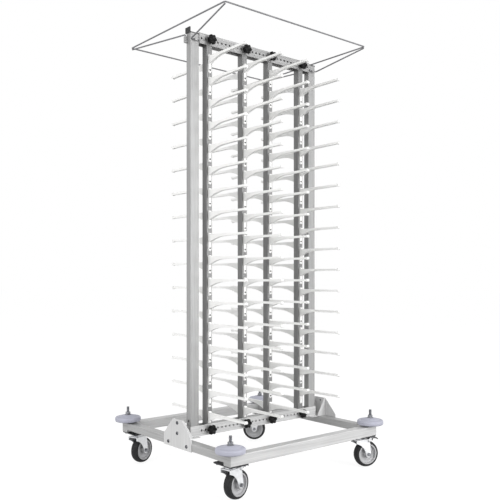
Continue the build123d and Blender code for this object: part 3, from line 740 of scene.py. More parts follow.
def scatter_tool() -> NodeTool:
    """Build the tree that sets one fastener on each point, turned to the point's aim.

    Returns:
        The tool.
    """
    tool = NodeTool("fasteners", {"Fastener": "NodeSocketObject"})
    source = tool.add("GeometryNodeObjectInfo", inputs={"Object": tool.given["Fastener"]})
    settings = {"data_type": "FLOAT_VECTOR"}
    aim = tool.add("GeometryNodeInputNamedAttribute", settings, {"Name": "aim"})
    turn = tool.add("FunctionNodeAlignRotationToVector", {"axis": "Z"}, {"Vector": aim})
    inputs = {"Points": tool.given["Geometry"], "Rotation": turn}
    inputs["Instance"] = source.outputs["Geometry"]
    return tool.finish(tool.add("GeometryNodeInstanceOnPoints", inputs=inputs))


def wire_tool(bend_steps: int = 8, sides: int = 14) -> NodeTool:
    """Build the tree that bends a wire along a path of edges.

    Args:
        bend_steps: the points in each bend.
        sides: the corners of the wire's round section.

    Returns:
        The tool.
    """
    tool = NodeTool("bent_wire", {"Radius": "NodeSocketFloat", "Bend": "NodeSocketFloat"})
    path = tool.add("GeometryNodeMeshToCurve", inputs={"Mesh": tool.given["Geometry"]})
    inputs = {"Curve": path, "Count": bend_steps, "Radius": tool.given["Bend"]}
    inputs["Limit Radius"] = True
    bent = tool.add("GeometryNodeFilletCurve", {"mode": "POLY"}, inputs)
    inputs = {"Resolution": sides, "Radius": tool.given["Radius"]}
    ring = tool.add("GeometryNodeCurvePrimitiveCircle", inputs=inputs)
    inputs = {"Curve": bent, "Profile Curve": ring, "Fill Caps": True}
    return tool.finish(tool.add("GeometryNodeCurveToMesh", inputs=inputs))


def seed_object(
    name: str, points: Sequence[Vector], edges: Sequence[tuple[int, int]] = ()
) -> Piece:
    """Make an object of bare points or edges for a tree to start from.

    Args:
        name: the object's name.
        points: its vertices.
        edges: its edges, as pairs of vertex numbers.

    Returns:
        The linked object.
    """
    mesh = bpy.data.meshes.new(name)
    mesh.from_pydata([tuple(p) for p in points], list(edges), [])
    return link_object(name, mesh)


def set_fasteners(
    tool: NodeTool,
    name: str,
    fastener: Piece,
    spots: Sequence[tuple[Vector, Vector]],
    finish: Finish,
) -> Piece:
    """Set a copy of a fastener on each spot, and remove the pattern.

    Args:
        tool: the scatter tree.
        name: the new piece's name.
        fastener: the pattern, standing on the origin along Z.
        spots: each seat and the direction that the fastener points in.
        finish: the fasteners' finish.

    Returns:
        The plain mesh object.
    """
    seed = seed_object(f"{name}_spots", [spot for spot, _ in spots])
    aims = seed.data.attributes.new("aim", "FLOAT_VECTOR", "POINT")
    for i, (_, direction) in enumerate(spots):
        aims.data[i].vector = direction
    piece = tool.grow(name, seed, {"Fastener": fastener, "Finish": finish.material()})
    bpy.data.objects.remove(fastener)
    return piece


# ------------------------------------------------------------------ tube frame and rack


@dataclass
class TubeFrame:
    """The steel parts that keep their CAD shape: tubes, rails, posts, uprights and brackets."""

    # The brushed finishes below carry painted light and shade in their tones.
    wear: tuple[tuple[Finish, tuple[str, ...]], ...] = (
        (LIT_TUBE_X, ("front_base_tube", "rear_base_tube", "bottom_rail")),
        (HALF_SHADED_TUBE_Y, ("left_base_tube", "right_base_tube", "base_end_caps")),
        (SHADED_TUBE_Z, ("left_upright", "right_upright")),
        (SHADED_RAIL_X, ("top_rail",)),
        (SHADED_POST_Z, ("post_1", "post_2", "post_3", "post_4")),
        (LIT_SHEET_Z, ("left_foot_bracket", "right_foot_bracket")),
        # The caster plates' dark steel is painted shade.
        (DARK_SCREW_AND_SHADED_PLATE, ("caster_plates",)),
    )

    def dress(self, nodes: dict[str, Piece]) -> None:
        """Give each CAD node its finish.

        Args:
            nodes: the CAD objects by name.
        """
        for finish, names in self.wear:
            for name in names:
                nodes[name].data.materials.clear()
                nodes[name].data.materials.append(finish.material())
                LOG.info("%s wears %s", name, finish.name)


@dataclass
class ArmRow:
    """One post's row of moulded arms on one side, each with its fixing screw."""

    post: int
    facing: Facing
    count: int
    pitch: float
    rows: NodeTool
    thickness: float = 0.010
    tip: float = 0.008
    nub: float = 0.006
    hub_rise: float = 0.006
    strip: float = 0.0045
    shoulder: Profile = ((0.003, 0.0015), (0.009, 0.0))
    foot: Profile = ((0.0, 0.003), (-0.003, 0.0))
    heel: Point2 = (0.0015, 0.002)
    web_length: float = 0.106
    web_depth: float = 0.022
    stem: float = 0.034
    edge: float = 0.0016
    tip_steps: int = 8
    web_steps: int = 9
    screw_drop: float = 0.050
    screw_steps: int = 14
    screw: Profile = (
        (0.0036, 0.0),
        (0.0036, 0.0006),
        (0.0026, 0.0014),
        (0.0012, 0.0015),
        (0.0011, 0.0006),
    )

    @property
    def node(self) -> str:
        """The CAD node that the row stands for."""
        return f"{self.facing.name.lower()}_arms_{self.post}"

    def outline(self, reach: float, stem: float) -> list[Point2]:
        """List one arm's side outline, out from the post and up.

        Args:
            reach: the arm's length from the post's face.
            stem: the length of the strip below the web.

        Returns:
            The outline, with its level at height 0.
        """
        half = self.thickness / 2
        run = self.web_length - self.strip
        radius = (run**2 + self.web_depth**2) / (2 * self.web_depth)
        sweep = math.degrees(math.asin(run / radius))
        opening = math.degrees(math.asin(self.tip / 2 / self.nub))
        bottom = -half - self.web_depth - stem
        top = half + self.hub_rise
        return [
            (0.0, bottom + self.heel[1]),
            (0.0, top),
            (self.strip, top),
            *moved(self.shoulder, self.strip, half),
            *arc((reach - self.nub, 0.0), self.nub, 180 - opening, -180 + opening, self.tip_steps),
            *arc((self.web_length, -half - radius), radius, 90, 90 + sweep, self.web_steps),
            *moved(self.foot, self.strip, bottom),
            (self.heel[0], bottom),
        ]

    def build(self) -> None:
        """Build the row in its CAD node's box, the lowest arm with its stem cut above the rail."""
        low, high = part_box(self.node)
        out = Vector((0, self.facing.value, 0))
        across = out.cross(UP)
        width, reach = high.x - low.x, high.y - low.y
        root = high.y if self.facing is Facing.FRONT else low.y
        level = high.z - self.thickness / 2 - self.hub_rise
        middle = Vector(((low.x + high.x) / 2, root, level))
        fall = (self.count - 1) * self.pitch
        cut_stem = level - fall - low.z - self.thickness / 2 - self.web_depth
        step = {"Count": self.count - 1, "Step": (0.0, 0.0, -self.pitch)}
        step["Finish"] = NYLON.material()
        for name, drop, stem in (("one", 0.0, self.stem), ("lowest", fall, cut_stem)):
            shell = bmesh.new()
            place = axes_at(middle - across * width / 2 - UP * drop, out, UP, across)
            prism(shell, self.outline(reach, stem), place, width, self.edge)
            arm = finished_piece(f"{self.node}_{name}", shell, NYLON)
            if name == "lowest":
                seat(arm, "cart_frame")
            else:
                seat(self.rows.grow(f"{self.node}_moulded", arm, step), "cart_frame", self.node)
        shell = bmesh.new()
        face = middle + out * self.strip - UP * self.screw_drop
        lathe(shell, self.screw, turned_frame(face, out), self.screw_steps)
        screw = finished_piece(f"{self.node}_screw", shell, DARK_SCREW_AND_SHADED_PLATE)
        step["Finish"] = DARK_SCREW_AND_SHADED_PLATE.material()
        seat(self.rows.grow(f"{self.node}_screws", screw, step), "cart_frame")


@dataclass
class ClampKnob:
    """A lobed phenolic knob with its stud, turning on its own.

    The tables hold the head's profile: the shoulder from the radius and the neck's end, the
    crown from the radius and the head's end, and the dish from the axis and the head's end.
    """

    place: str
    number: int
    lobes: int = 6
    lobe_fullness: float = 0.75
    radius: float = 0.020
    valley: float = 0.0156
    neck: float = 0.011
    neck_length: float = 0.009
    neck_edge: float = 0.0006
    head: float = 0.015
    shoulder: Profile = ((-0.0032, 0.0), (-0.0010, 0.0005), (0.0, 0.0022))
    crown: Profile = (
        (0.0, -0.0040),
        (-0.0006, -0.0020),
        (-0.0022, -0.0006),
        (-0.0048, 0.0),
    )
    dish: Profile = ((0.0078, -0.0002), (0.0068, -0.0010), (0.0004, -0.0011))
    head_steps: int = 72
    head_smooth: float = 60.0
    stud: float = 0.004
    stud_root: float = 0.001
    stud_reach: float = 0.018
    stud_steps: int = 20

    def lobed(self, radius: float, angle: float) -> float:
        """Pull a radius in between the lobes.

        Args:
            radius: the radius at a lobe's crest.
            angle: the angle round the knob.

        Returns:
            The radius at that angle.
        """
        if radius <= self.neck:
            return radius
        crest = (0.5 + 0.5 * math.cos(self.lobes * angle)) ** self.lobe_fullness
        valley = radius - (self.radius - self.valley)
        return valley + (radius - valley) * crest

    def build(self) -> None:
        """Build the knob on its CAD node's place."""
        node, body = f"{self.place}_knob_{self.number}", f"{self.place}_clamp_{self.number}"
        low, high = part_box(node)
        centre = Vector(((low.x + high.x) / 2, high.y - self.stud_reach, (low.z + high.z) / 2))
        place = turned_frame(centre, Vector((0, -1, 0)))
        start, full = self.neck_length, self.neck_length + self.head
        profile = [
            (self.neck - self.neck_edge, 0.0),
            (self.neck, self.neck_edge),
            (self.neck, start - 2 * self.neck_edge),
            *moved(self.shoulder, self.radius, start),
            *moved(self.crown, self.radius, full),
            *moved(self.dish, 0.0, full),
        ]
        shell = bmesh.new()
        lathe(shell, profile, place, self.head_steps, radius_at=self.lobed)
        seat(finished_piece(f"{node}_moulded", shell, KNOB_BLACK, self.head_smooth), body, node)
        shell = bmesh.new()
        shank = [(self.stud, -self.stud_reach), (self.stud, self.stud_root)]
        lathe(shell, shank, place, self.stud_steps)
        seat(finished_piece(f"{node}_stud", shell, NICKEL), body)


@dataclass
class CornerBumper:
    """A round rubber buffer that turns on its stud, with its washer, nut and thread.

    The tables hold the disc's profile: the groove from the radius and the underside, the bead
    from the radius and the rim, and the dome from the boss and the top.
    """

    place: str
    rim: float = 0.020
    boss: float = 0.017
    groove: Profile = ((-0.020, 0.0), (-0.019, 0.0012), (-0.012, 0.0012), (-0.011, 0.0))
    bead: Profile = ((-0.013, 0.0012), (-0.0145, 0.0008), (-0.016, 0.0020))
    dome: Profile = ((0.010, -0.0022), (0.003, -0.0010), (0.0, 0.0))
    foot_round: float = 0.006
    foot_steps: int = 5
    rim_round: float = 0.007
    rim_sweep: float = 78.0
    rim_steps: int = 6
    disc_steps: int = 72
    disc_smooth: float = 32.0
    stud: float = 0.006
    stud_point: float = 0.0002
    stud_steps: int = 28
    fit: float = 0.0001
    nut: float = 0.0105
    nut_height: float = 0.010
    nut_edge: Point3 = (0.0008, 0.0005, 0.0010)
    nut_steps: int = 36
    washer: float = 0.013
    washer_height: float = 0.002
    washer_edge: float = 0.0004
    washer_steps: int = 40
    thread_pitch: float = 0.00175
    thread_depth: float = 0.0009
    thread_start: float = 0.001
    thread_end: float = 0.0012
    collar: float = 0.015
    collar_edge: float = 0.0007
    gap: float = 0.0003

    def build(self) -> None:
        """Build the disc on its body."""
        node = f"{self.place}_bumper"
        low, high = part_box(node)
        centre = Vector(((low.x + high.x) / 2, (low.y + high.y) / 2, low.z))
        radius, height = (high.x - low.x) / 2, high.z - low.z
        foot, rim = self.foot_round, self.rim_round
        profile = [
            (self.stud + self.fit, 0.0),
            *moved(self.groove, radius, 0.0),
            *arc((radius - foot, foot), foot, -90, 0, self.foot_steps),
            *arc((radius - rim, self.rim - rim), rim, 0, self.rim_sweep, self.rim_steps),
            *moved(self.bead, radius, self.rim),
            *moved(self.dome, self.boss, height),
            (self.stud + self.fit, height),
        ]
        shell = bmesh.new()
        lathe(shell, profile, Matrix.Translation(centre), self.disc_steps, closed=True)
        piece = finished_piece(f"{node}_moulded", shell, BUMPER_GREY, self.disc_smooth)
        seat(piece, f"{self.place}_bumper_disc", node)

    def fix(self, shell: Shell, nuts: Shell) -> None:
        """Add the stud with its thread, and the washer and nut.

        Args:
            shell: the bmesh of the studs.
            nuts: the bmesh of the nuts and washers.
        """
        low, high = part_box(f"{self.place}_bumper")
        middle = (low + high) / 2
        stud_low, stud_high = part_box("bumper_studs")
        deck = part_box("front_base_tube")[1].z
        axis = Matrix.Translation((middle.x, middle.y, 0.0))
        under, seat_level = low.z - self.gap, high.z + self.gap
        edge, collar = self.collar_edge, self.collar
        start = seat_level + self.thread_start
        turns = int((stud_high.z - self.thread_end - start) / self.thread_pitch)
        profile = [(self.stud, stud_low.z), (self.stud, deck), (collar, deck)]
        profile += [(collar, under - edge), (collar - edge, under)]
        profile += [(self.stud, under), (self.stud, start)]
        for i in range(turns):
            root = start + (i + 0.5) * self.thread_pitch
            profile.append((self.stud - self.thread_depth, root))
            profile.append((self.stud, root + self.thread_pitch / 2))
        profile += [(self.stud - self.thread_end, stud_high.z), (self.stud_point, stud_high.z)]
        lathe(shell, profile, axis, self.stud_steps)
        edge, rise, outer = self.washer_edge, self.washer_height, self.washer
        ring = [(self.stud, 0.0), (outer, 0.0), (outer, rise - edge)]
        ring += [(outer - edge, rise), (self.stud, rise)]
        on_disc = axis @ Matrix.Translation((0, 0, seat_level))
        lathe(nuts, ring, on_disc, self.washer_steps, closed=True)
        height, (cut, bulge, edge) = self.nut_height, self.nut_edge
        narrow, wide = self.nut - cut, self.nut + bulge
        crown = [(self.stud, 0.0), (narrow, 0.0), (wide, edge)]
        crown += [(wide, height - edge), (narrow, height), (self.stud, height)]
        on_washer = axis @ Matrix.Translation((0, 0, seat_level + rise))
        lathe(nuts, crown, on_washer, self.nut_steps, closed=True, radius_at=self.hexed)

    def hexed(self, radius: float, angle: float) -> float:
        """Cut a radius back to the nut's six flats.

        Args:
            radius: the round radius.
            angle: the angle round the nut.

        Returns:
            The smaller of the radius and the distance to the flat.
        """
        half = math.radians(30)
        flat = self.nut * math.cos(half) / math.cos((angle + half) % (2 * half) - half)
        return radius if radius <= self.stud + self.fit else min(radius, flat)


@dataclass
class Caster:
    """A swivel caster: pressed fork, ball race, axle, hub and solid tyre."""

    place: str
    swivel: Point2
    axle: Vector
    has_pedal: bool
    trail: float = 0.028
    wheel: float = 0.055
    tyre_half: float = 0.017
    tyre_depth: float = 0.012
    tyre_crown: float = 0.005
    tyre_flank: float = 0.003
    tyre_edge: float = 0.0006
    tyre_steps: int = 72
    tyre_smooth: float = 40.0
    tread_inset: float = 0.002
    tread_steps: int = 8
    hub_half: float = 0.019
    hub_boss: float = 0.014
    hub_rim: float = 0.006
    hub_web: float = 0.005
    hub_step: float = 0.003
    hub_bore: float = 0.0051
    hub_ease: float = 0.001
    hub_lip: float = 0.0004
    hub_steps: int = 60
    leg_inner: float = 0.0215
    leg_edge: float = 0.0007
    sheet: float = 0.003
    sheet_edge: float = 0.0006
    eye: float = 0.012
    eye_steps: int = 12
    crown_back: float = 0.030
    crown_front: float = 0.028
    crown_gap: float = 0.006
    skirt: float = 0.012
    arch: float = 0.007
    arch_steps: int = 8
    deck_spare: float = 0.001
    race: float = 0.023
    race_bore: float = 0.0061
    race_groove: Profile = ((0.0, 0.55), (-0.0012, 0.60), (-0.0012, 0.66), (0.0, 0.71))
    race_foot: float = 0.002
    race_lip: Point2 = (0.001, 0.0015)
    race_steps: int = 40
    bolt: float = 0.005
    bolt_ends: Point2 = (0.006, 0.001)
    bolt_steps: int = 24
    bolt_head: float = 0.0083
    bolt_head_depth: float = 0.005
    bolt_turn: float = 12.0
    pin: float = 0.002
    pin_end: float = 0.004
    pin_steps: int = 16
    pivot_along: float = 0.038
    pivot_lift: float = 0.010
    barrel: float = 0.005
    barrel_arc: tuple[float, float, int] = (330, 25, 12)
    ear_arc: tuple[float, float, int] = (110, -70, 8)
    ear_foot: float = 0.002
    ear_edge: float = 0.0005
    pedal_width: float = 0.030
    pedal_sheet: float = 0.003
    pedal_reach: float = 0.081
    pedal_lip: float = 0.008
    shoe: float = 0.054
    shoe_drop: float = 0.009

    @property
    def travel(self) -> Vector:
        """The direction from the swivel to the wheel."""
        return self.axle.cross(UP)

    @property
    def crown(self) -> float:
        """The level of the crown's underside."""
        return 2 * self.wheel + self.crown_gap

    @property
    def pivot(self) -> Point2:
        """The pedal pin's place along the travel and up."""
        return (self.pivot_along, 2 * self.wheel + self.pivot_lift)

    def at(self, along: float, across: float, level: float) -> Vector:
        """Return a place by its distance along the travel, along the axle and up."""
        return Vector((*self.swivel, level)) + self.travel * along + self.axle * across

    def side_plane(self, across: float) -> Matrix:
        """Return the matrix whose X is the travel, Y is up and Z is the inverse of the axle."""
        return axes_at(self.at(0, across, 0), self.travel, UP, -self.axle)

    @property
    def wheel_place(self) -> Matrix:
        """The matrix whose origin is the wheel's middle and whose Z is the axle."""
        return turned_frame(self.at(self.trail, 0, self.wheel), self.axle, self.travel)

    def build(self) -> None:
        """Build the wheel, fork, axle and pedal."""
        self.build_tyre()
        self.build_hub()
        self.build_fork()
        self.build_axle()
        if self.has_pedal:
            self.build_pedal()

    def build_tyre(self) -> None:
        """Build the crowned tread on its two flat flanks."""
        half, bore = self.tyre_half, self.wheel - self.tyre_depth
        shoulder, edge = self.wheel - self.tyre_crown, self.tyre_edge
        radius = (half**2 + self.tyre_crown**2) / (2 * self.tyre_crown)
        reach = math.degrees(math.asin((half - self.tread_inset) / radius))
        flank = [(bore, half), (shoulder - self.tyre_flank, half), (shoulder - edge, half - edge)]
        profile = [(r, -h) for r, h in flank]
        profile += arc((self.wheel - radius, 0.0), radius, -reach, reach, self.tread_steps)
        profile += reversed(flank)
        shell = bmesh.new()
        lathe(shell, profile, self.wheel_place, self.tyre_steps, closed=True)
        node = f"{self.place}_caster_tyre"
        tyre = finished_piece(f"{node}_tread", shell, TYRE, self.tyre_smooth)
        seat(tyre, f"{self.place}_wheel", node)

    def build_hub(self) -> None:
        """Build the hub: boss, stepped web and rim."""
        shell = bmesh.new()
        half, web, boss = self.tyre_half, self.hub_web, self.hub_boss
        step, ease, lip = web + self.hub_step, self.hub_ease, self.hub_lip
        outer = self.wheel - self.tyre_depth
        inner = outer - self.hub_rim
        ring = (boss + inner) / 2
        flank = [
            *[(self.hub_bore, self.hub_half), (boss - ease, self.hub_half)],
            *[(boss, self.hub_half - ease), (boss + ease, web + ease)],
            *[(boss + 3 * ease, web), (ring - ease / 2, web), (ring, step)],
            *[(inner - 2 * ease, step), (inner - ease / 2, step + ease), (inner, half - ease)],
            *[(inner + ease, half + lip), (outer - 2 * lip, half + lip), (outer, half - lip)],
        ]
        profile = [(r, -h) for r, h in flank] + flank[::-1]
        lathe(shell, profile, self.wheel_place, self.hub_steps, closed=True)
        hub = f"{self.place}_caster_hub"
        seat(finished_piece(f"{hub}_moulded", shell, HUB_GREY), f"{self.place}_wheel", hub)

    def leg_outline(self) -> list[Point2]:
        """List a fork leg's outline: crown, front edge, eye and the arch behind.

        Returns:
            The outline along the travel and up.
        """
        crown, skirt_level = self.crown, self.crown - self.skirt
        eye_back = (self.trail - self.eye, self.wheel)
        middle = (
            (eye_back[0] - self.crown_back) / 2 + self.arch,
            (self.wheel + skirt_level) / 2 + self.arch,
        )
        return [
            (-self.crown_back, crown + self.sheet),
            (self.crown_front, crown + self.sheet),
            (self.crown_front + self.eye / 2, skirt_level),
            *arc((self.trail, self.wheel), self.eye, 0, -180, self.eye_steps),
            *arc_through(eye_back, middle, (-self.crown_back, skirt_level), self.arch_steps)[1:],
        ]

    def build_fork(self) -> None:
        """Build the two legs, the crown and the ball race above it."""
        node = f"{self.place}_caster_fork"
        shell = bmesh.new()
        drop, front = self.skirt / 2, self.crown_front
        ear = [
            *arc(self.pivot, self.barrel, *self.ear_arc),
            (front + self.ear_foot, self.crown - self.skirt),
            (front - drop, self.crown - drop),
            (front - drop, self.crown),
        ]
        for across in (-self.leg_inner, self.leg_inner + self.sheet):
            plane = self.side_plane(across)
            prism(shell, self.leg_outline(), plane, self.sheet, self.leg_edge)
            if self.has_pedal:
                prism(shell, ear, plane, self.sheet, self.ear_edge, steps=1)
        half = self.leg_inner + self.deck_spare
        deck = [(-self.crown_back, -half), (front, -half), (front, half), (-self.crown_back, half)]
        level = turned_frame(self.at(0, 0, self.crown), UP, self.travel)
        prism(shell, deck, level, self.sheet, self.sheet_edge, steps=1)
        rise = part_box(node)[1].z - self.crown
        inset, drop = self.race_lip
        race = [
            *[(self.race_bore, self.sheet), (self.race - self.race_foot, self.sheet)],
            (self.race, self.sheet + self.race_foot),
            *[(self.race + change, rise * share) for change, share in self.race_groove],
            *[(self.race, rise - drop), (self.race - inset, rise), (self.race_bore, rise)],
        ]
        lathe(shell, race, level, self.race_steps, closed=True)
        if self.has_pedal:
            half = self.leg_inner + self.pin_end
            hinge = turned_frame(self.at(self.pivot[0], -half, self.pivot[1]), self.axle)
            lathe(shell, [(self.pin, 0.0), (self.pin, 2 * half)], hinge, self.pin_steps)
        seat(finished_piece(f"{node}_pressed", shell, ZINC), f"{self.place}_swivel", node)

    def build_axle(self) -> None:
        """Build the axle bolt with its head and nut."""
        node = f"{self.place}_caster_axle"
        place, reach = self.wheel_place, self.leg_inner + self.sheet
        shell = bmesh.new()
        head_end, nut_end = self.bolt_ends
        shank = [(self.bolt, -reach - head_end), (self.bolt, reach + nut_end)]
        lathe(shell, shank, place, self.bolt_steps)
        for start in (reach, -reach - self.bolt_head_depth):
            head = place @ Matrix.Translation((0, 0, start))
            corners = hexagon(self.bolt_head, self.bolt_turn)
            prism(shell, corners, head, self.bolt_head_depth, self.sheet_edge, steps=1)
        seat(finished_piece(f"{node}_bolt", shell, NICKEL), f"{self.place}_swivel", node)

    def build_pedal(self) -> None:
        """Build the brake pedal with its barrel, shoe and turned-down lip."""
        node = f"{self.place}_brake_pedal"
        level, sheet = self.pivot[1], self.pedal_sheet
        reach, lip, shoe, half = self.pedal_reach, self.pedal_lip, self.shoe, sheet / 2
        outline = [
            *arc(self.pivot, self.barrel, *self.barrel_arc),
            *[(reach - lip + half, level + half), (reach, level - lip + sheet)],
            *[(reach, level - lip), (reach - lip, level - half), (shoe, level - half)],
            *[(shoe, level - self.shoe_drop), (shoe - sheet, level - self.shoe_drop)],
            (shoe - sheet, level - half),
        ]
        shell = bmesh.new()
        width = self.pedal_width
        prism(shell, outline, self.side_plane(-width / 2), -width, self.sheet_edge)
        seat(finished_piece(f"{node}_pressed", shell, PEDAL_COAT), f"{self.place}_brake", node)


@dataclass
class CoverHoop:
    """The bent wire hoop with its four stays, lifting out as one."""

    radius: float = 0.003
    bend: float = 0.008
    stay_bend: float = 0.006
    under: float = 0.0063
    fit: float = 0.0001
    tab_depth: float = 0.013
    pin_inset: float = 0.0045
    pin_back: float = 0.006
    socket_drop: float = 0.013
    landing: float = 0.007
    pin_length: float = 0.020
    cradle_drop: float = 0.025
    cradle_wall: float = 0.002

    def landings(self, name: str, side: int) -> tuple[tuple[Vector, Vector], ...]:
        """Find where an upright's front and rear stays land and where they end.

        Args:
            name: the upright's CAD node.
            side: -1 for the left upright, 1 for the right.

        Returns:
            The front stay's landing and end, and the rear stay's.
        """
        low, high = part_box(name)
        tip, inner = (low.x, high.x) if side < 0 else (high.x, low.x)
        front = low.y + self.cradle_wall + self.fit + self.radius
        cradle = Vector((0, front, high.z - self.cradle_drop))
        foot = tuple(cradle + Vector((x, 0, 0)) for x in (tip - side * self.tab_depth, inner))
        rear, drop = high.y - self.pin_back, high.z - self.socket_drop
        socket = Vector((tip - side * self.pin_inset, rear, drop))
        return foot, tuple(socket + UP * rise for rise in (self.landing, -self.pin_length))

    def build(self) -> None:
        """Build the hoop and the stays."""
        wires = wire_tool()
        low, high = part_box("cover_hoop")
        x, y = high.x - self.radius, high.y - self.radius
        level = (low.z + high.z) / 2
        sides = ((-1, -1), (1, -1), (1, 1), (-1, 1))
        corners = [Vector((side_x * x, side_y * y, level)) for side_x, side_y in sides]
        loop = seed_object("hoop_path", corners, [(0, 1), (1, 2), (2, 3), (3, 0)])
        values = {"Radius": self.radius, "Bend": self.bend, "Finish": WIRE_COAT.material()}
        seat(wires.grow("cover_hoop_wire", loop, values), "hoop", "cover_hoop")
        inset = self.bend * (1 - math.sqrt(0.5))
        points: list[Vector] = []
        edges: list[tuple[int, int]] = []
        for side_x, name in ((-1, "left_upright"), (1, "right_upright")):
            for side_y, (landing, end) in zip((-1, 1), self.landings(name, side_x)):
                start = len(points)
                corner = Vector((side_x * (x - inset), side_y * (y - inset), level - self.under))
                points += [corner, landing, end]
                edges += [(start, start + 1), (start + 1, start + 2)]
        values["Bend"] = self.stay_bend
        stays = seed_object("stay_paths", points, edges)
        seat(wires.grow("hoop_stay_wires", stays, values), "hoop", "hoop_stays")


@dataclass
class UprightCaps:
    """The black moulded caps of the uprights, the left one with a stop on its outer side."""

    edge: float = 0.0012
    plate: float = 0.004
    width: float = 0.040

    def build(self) -> None:
        """Build both caps as one piece."""
        low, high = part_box("upright_caps")
        outer, top = high.x, low.z + self.plate
        inner = outer - self.width
        shell = bmesh.new()
        place = axes_at(Vector((0, high.y, 0)), Vector((1, 0, 0)), UP, Vector((0, -1, 0)))
        flat = [(inner, low.z), (outer, low.z), (outer, top), (inner, top)]
        stopped = [(-inner, low.z), (-inner, top), (-outer, top)]
        stopped += [(-outer, high.z), (low.x, high.z), (low.x, low.z)]
        for outline in (flat, stopped):
            prism(shell, outline, place, high.y - low.y, self.edge)
        caps = finished_piece("upright_caps_moulded", shell, CAP_BLACK)
        seat(caps, "cart_frame", "upright_caps")


@dataclass
class Fasteners:
    """The screws of the foot brackets and the bolts of the caster plates."""

    head: float = 0.007
    head_rim: float = 0.0008
    head_rise: float = 0.0034
    head_angles: Point3 = (0.4, 0.8, 1.15)
    head_steps: int = 24
    socket: Profile = ((0.0028, 0.0042), (0.0027, 0.0016), (0.0003, 0.0015))
    screws: Profile = ((0.0, 0.065), (0.0, 0.025), (-0.0625, -0.016), (0.0625, -0.016))
    sunk: float = 0.0001
    bolt: float = 0.0065
    bolt_height: float = 0.0042
    bolt_edge: float = 0.0005
    washer: float = 0.0085
    washer_height: float = 0.0012
    bolt_inset: Point2 = (0.012, 0.013)
    plate: Point3 = (0.085, 0.105, 0.004)

    def button_head(self) -> Piece:
        """Build a button head with a socket.

        Returns:
            The head, standing along Z.
        """
        shell = bmesh.new()
        dome = [(self.head, -self.sunk), (self.head, self.head_rim)]
        for angle in self.head_angles:
            level = self.head_rim + self.head_rise * math.sin(angle)
            dome.append((self.head * math.cos(angle), level))
        lathe(shell, [*dome, *self.socket], Matrix.Identity(4), self.head_steps)
        # The head's darkened steel is painted shade.
        return finished_piece("button_head", shell, SHADED_BOLT_STEEL)

    def hex_head(self) -> Piece:
        """Build a flat hexagon head on a thin washer.

        Returns:
            The head, standing along Z.
        """
        shell = bmesh.new()
        disc = [(self.washer, -self.sunk), (self.washer, self.washer_height)]
        lathe(shell, disc, Matrix.Identity(4), self.head_steps)
        above = Matrix.Translation((0, 0, self.washer_height))
        prism(shell, hexagon(self.bolt), above, self.bolt_height, self.bolt_edge, steps=1)
        return finished_piece("hex_head", shell, NICKEL)

    def bracket_spots(self) -> list[tuple[Vector, Vector]]:
        """Find the bracket screws' places.

        Returns:
            Each screw's seat and direction.
        """
        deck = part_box("front_base_tube")[1].z
        rail_low, rail_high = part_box("bottom_rail")
        rack_y = (rail_low.y + rail_high.y) / 2
        faces = ((-1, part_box("left_foot_bracket")[0].x), (1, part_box("right_foot_bracket")[1].x))
        return [
            (Vector((face, rack_y + along, deck + rise)), Vector((side, 0, 0)))
            for side, face in faces
            for along, rise in self.screws
        ]

    def plate_spots(self) -> list[tuple[Vector, Vector]]:
        """Find the caster plate bolts' places.

        Returns:
            Each bolt's seat and direction.
        """
        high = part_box("caster_plates")[1]
        length, width, thickness = self.plate
        return [
            (Vector((side_x * (high.x - x), side_y * (high.y - y), high.z - thickness)), -UP)
            for side_x in (-1, 1)
            for side_y in (-1, 1)
            for x in (self.bolt_inset[0], length - self.bolt_inset[0])
            for y in (self.bolt_inset[1], width - self.bolt_inset[1])
        ]

    def build(self) -> None:
        """Set the screws and bolts."""
        place = partial(set_fasteners, scatter_tool())
        heads = place("bracket_screw_heads", self.button_head(), self.bracket_spots(), SHADED_BOLT_STEEL)
        seat(heads, "cart_frame", "bracket_screws")
        bolts = place("caster_plate_bolts", self.hex_head(), self.plate_spots(), NICKEL)
        seat(bolts, "cart_frame")


# ------------------------------------------------------------------ studio


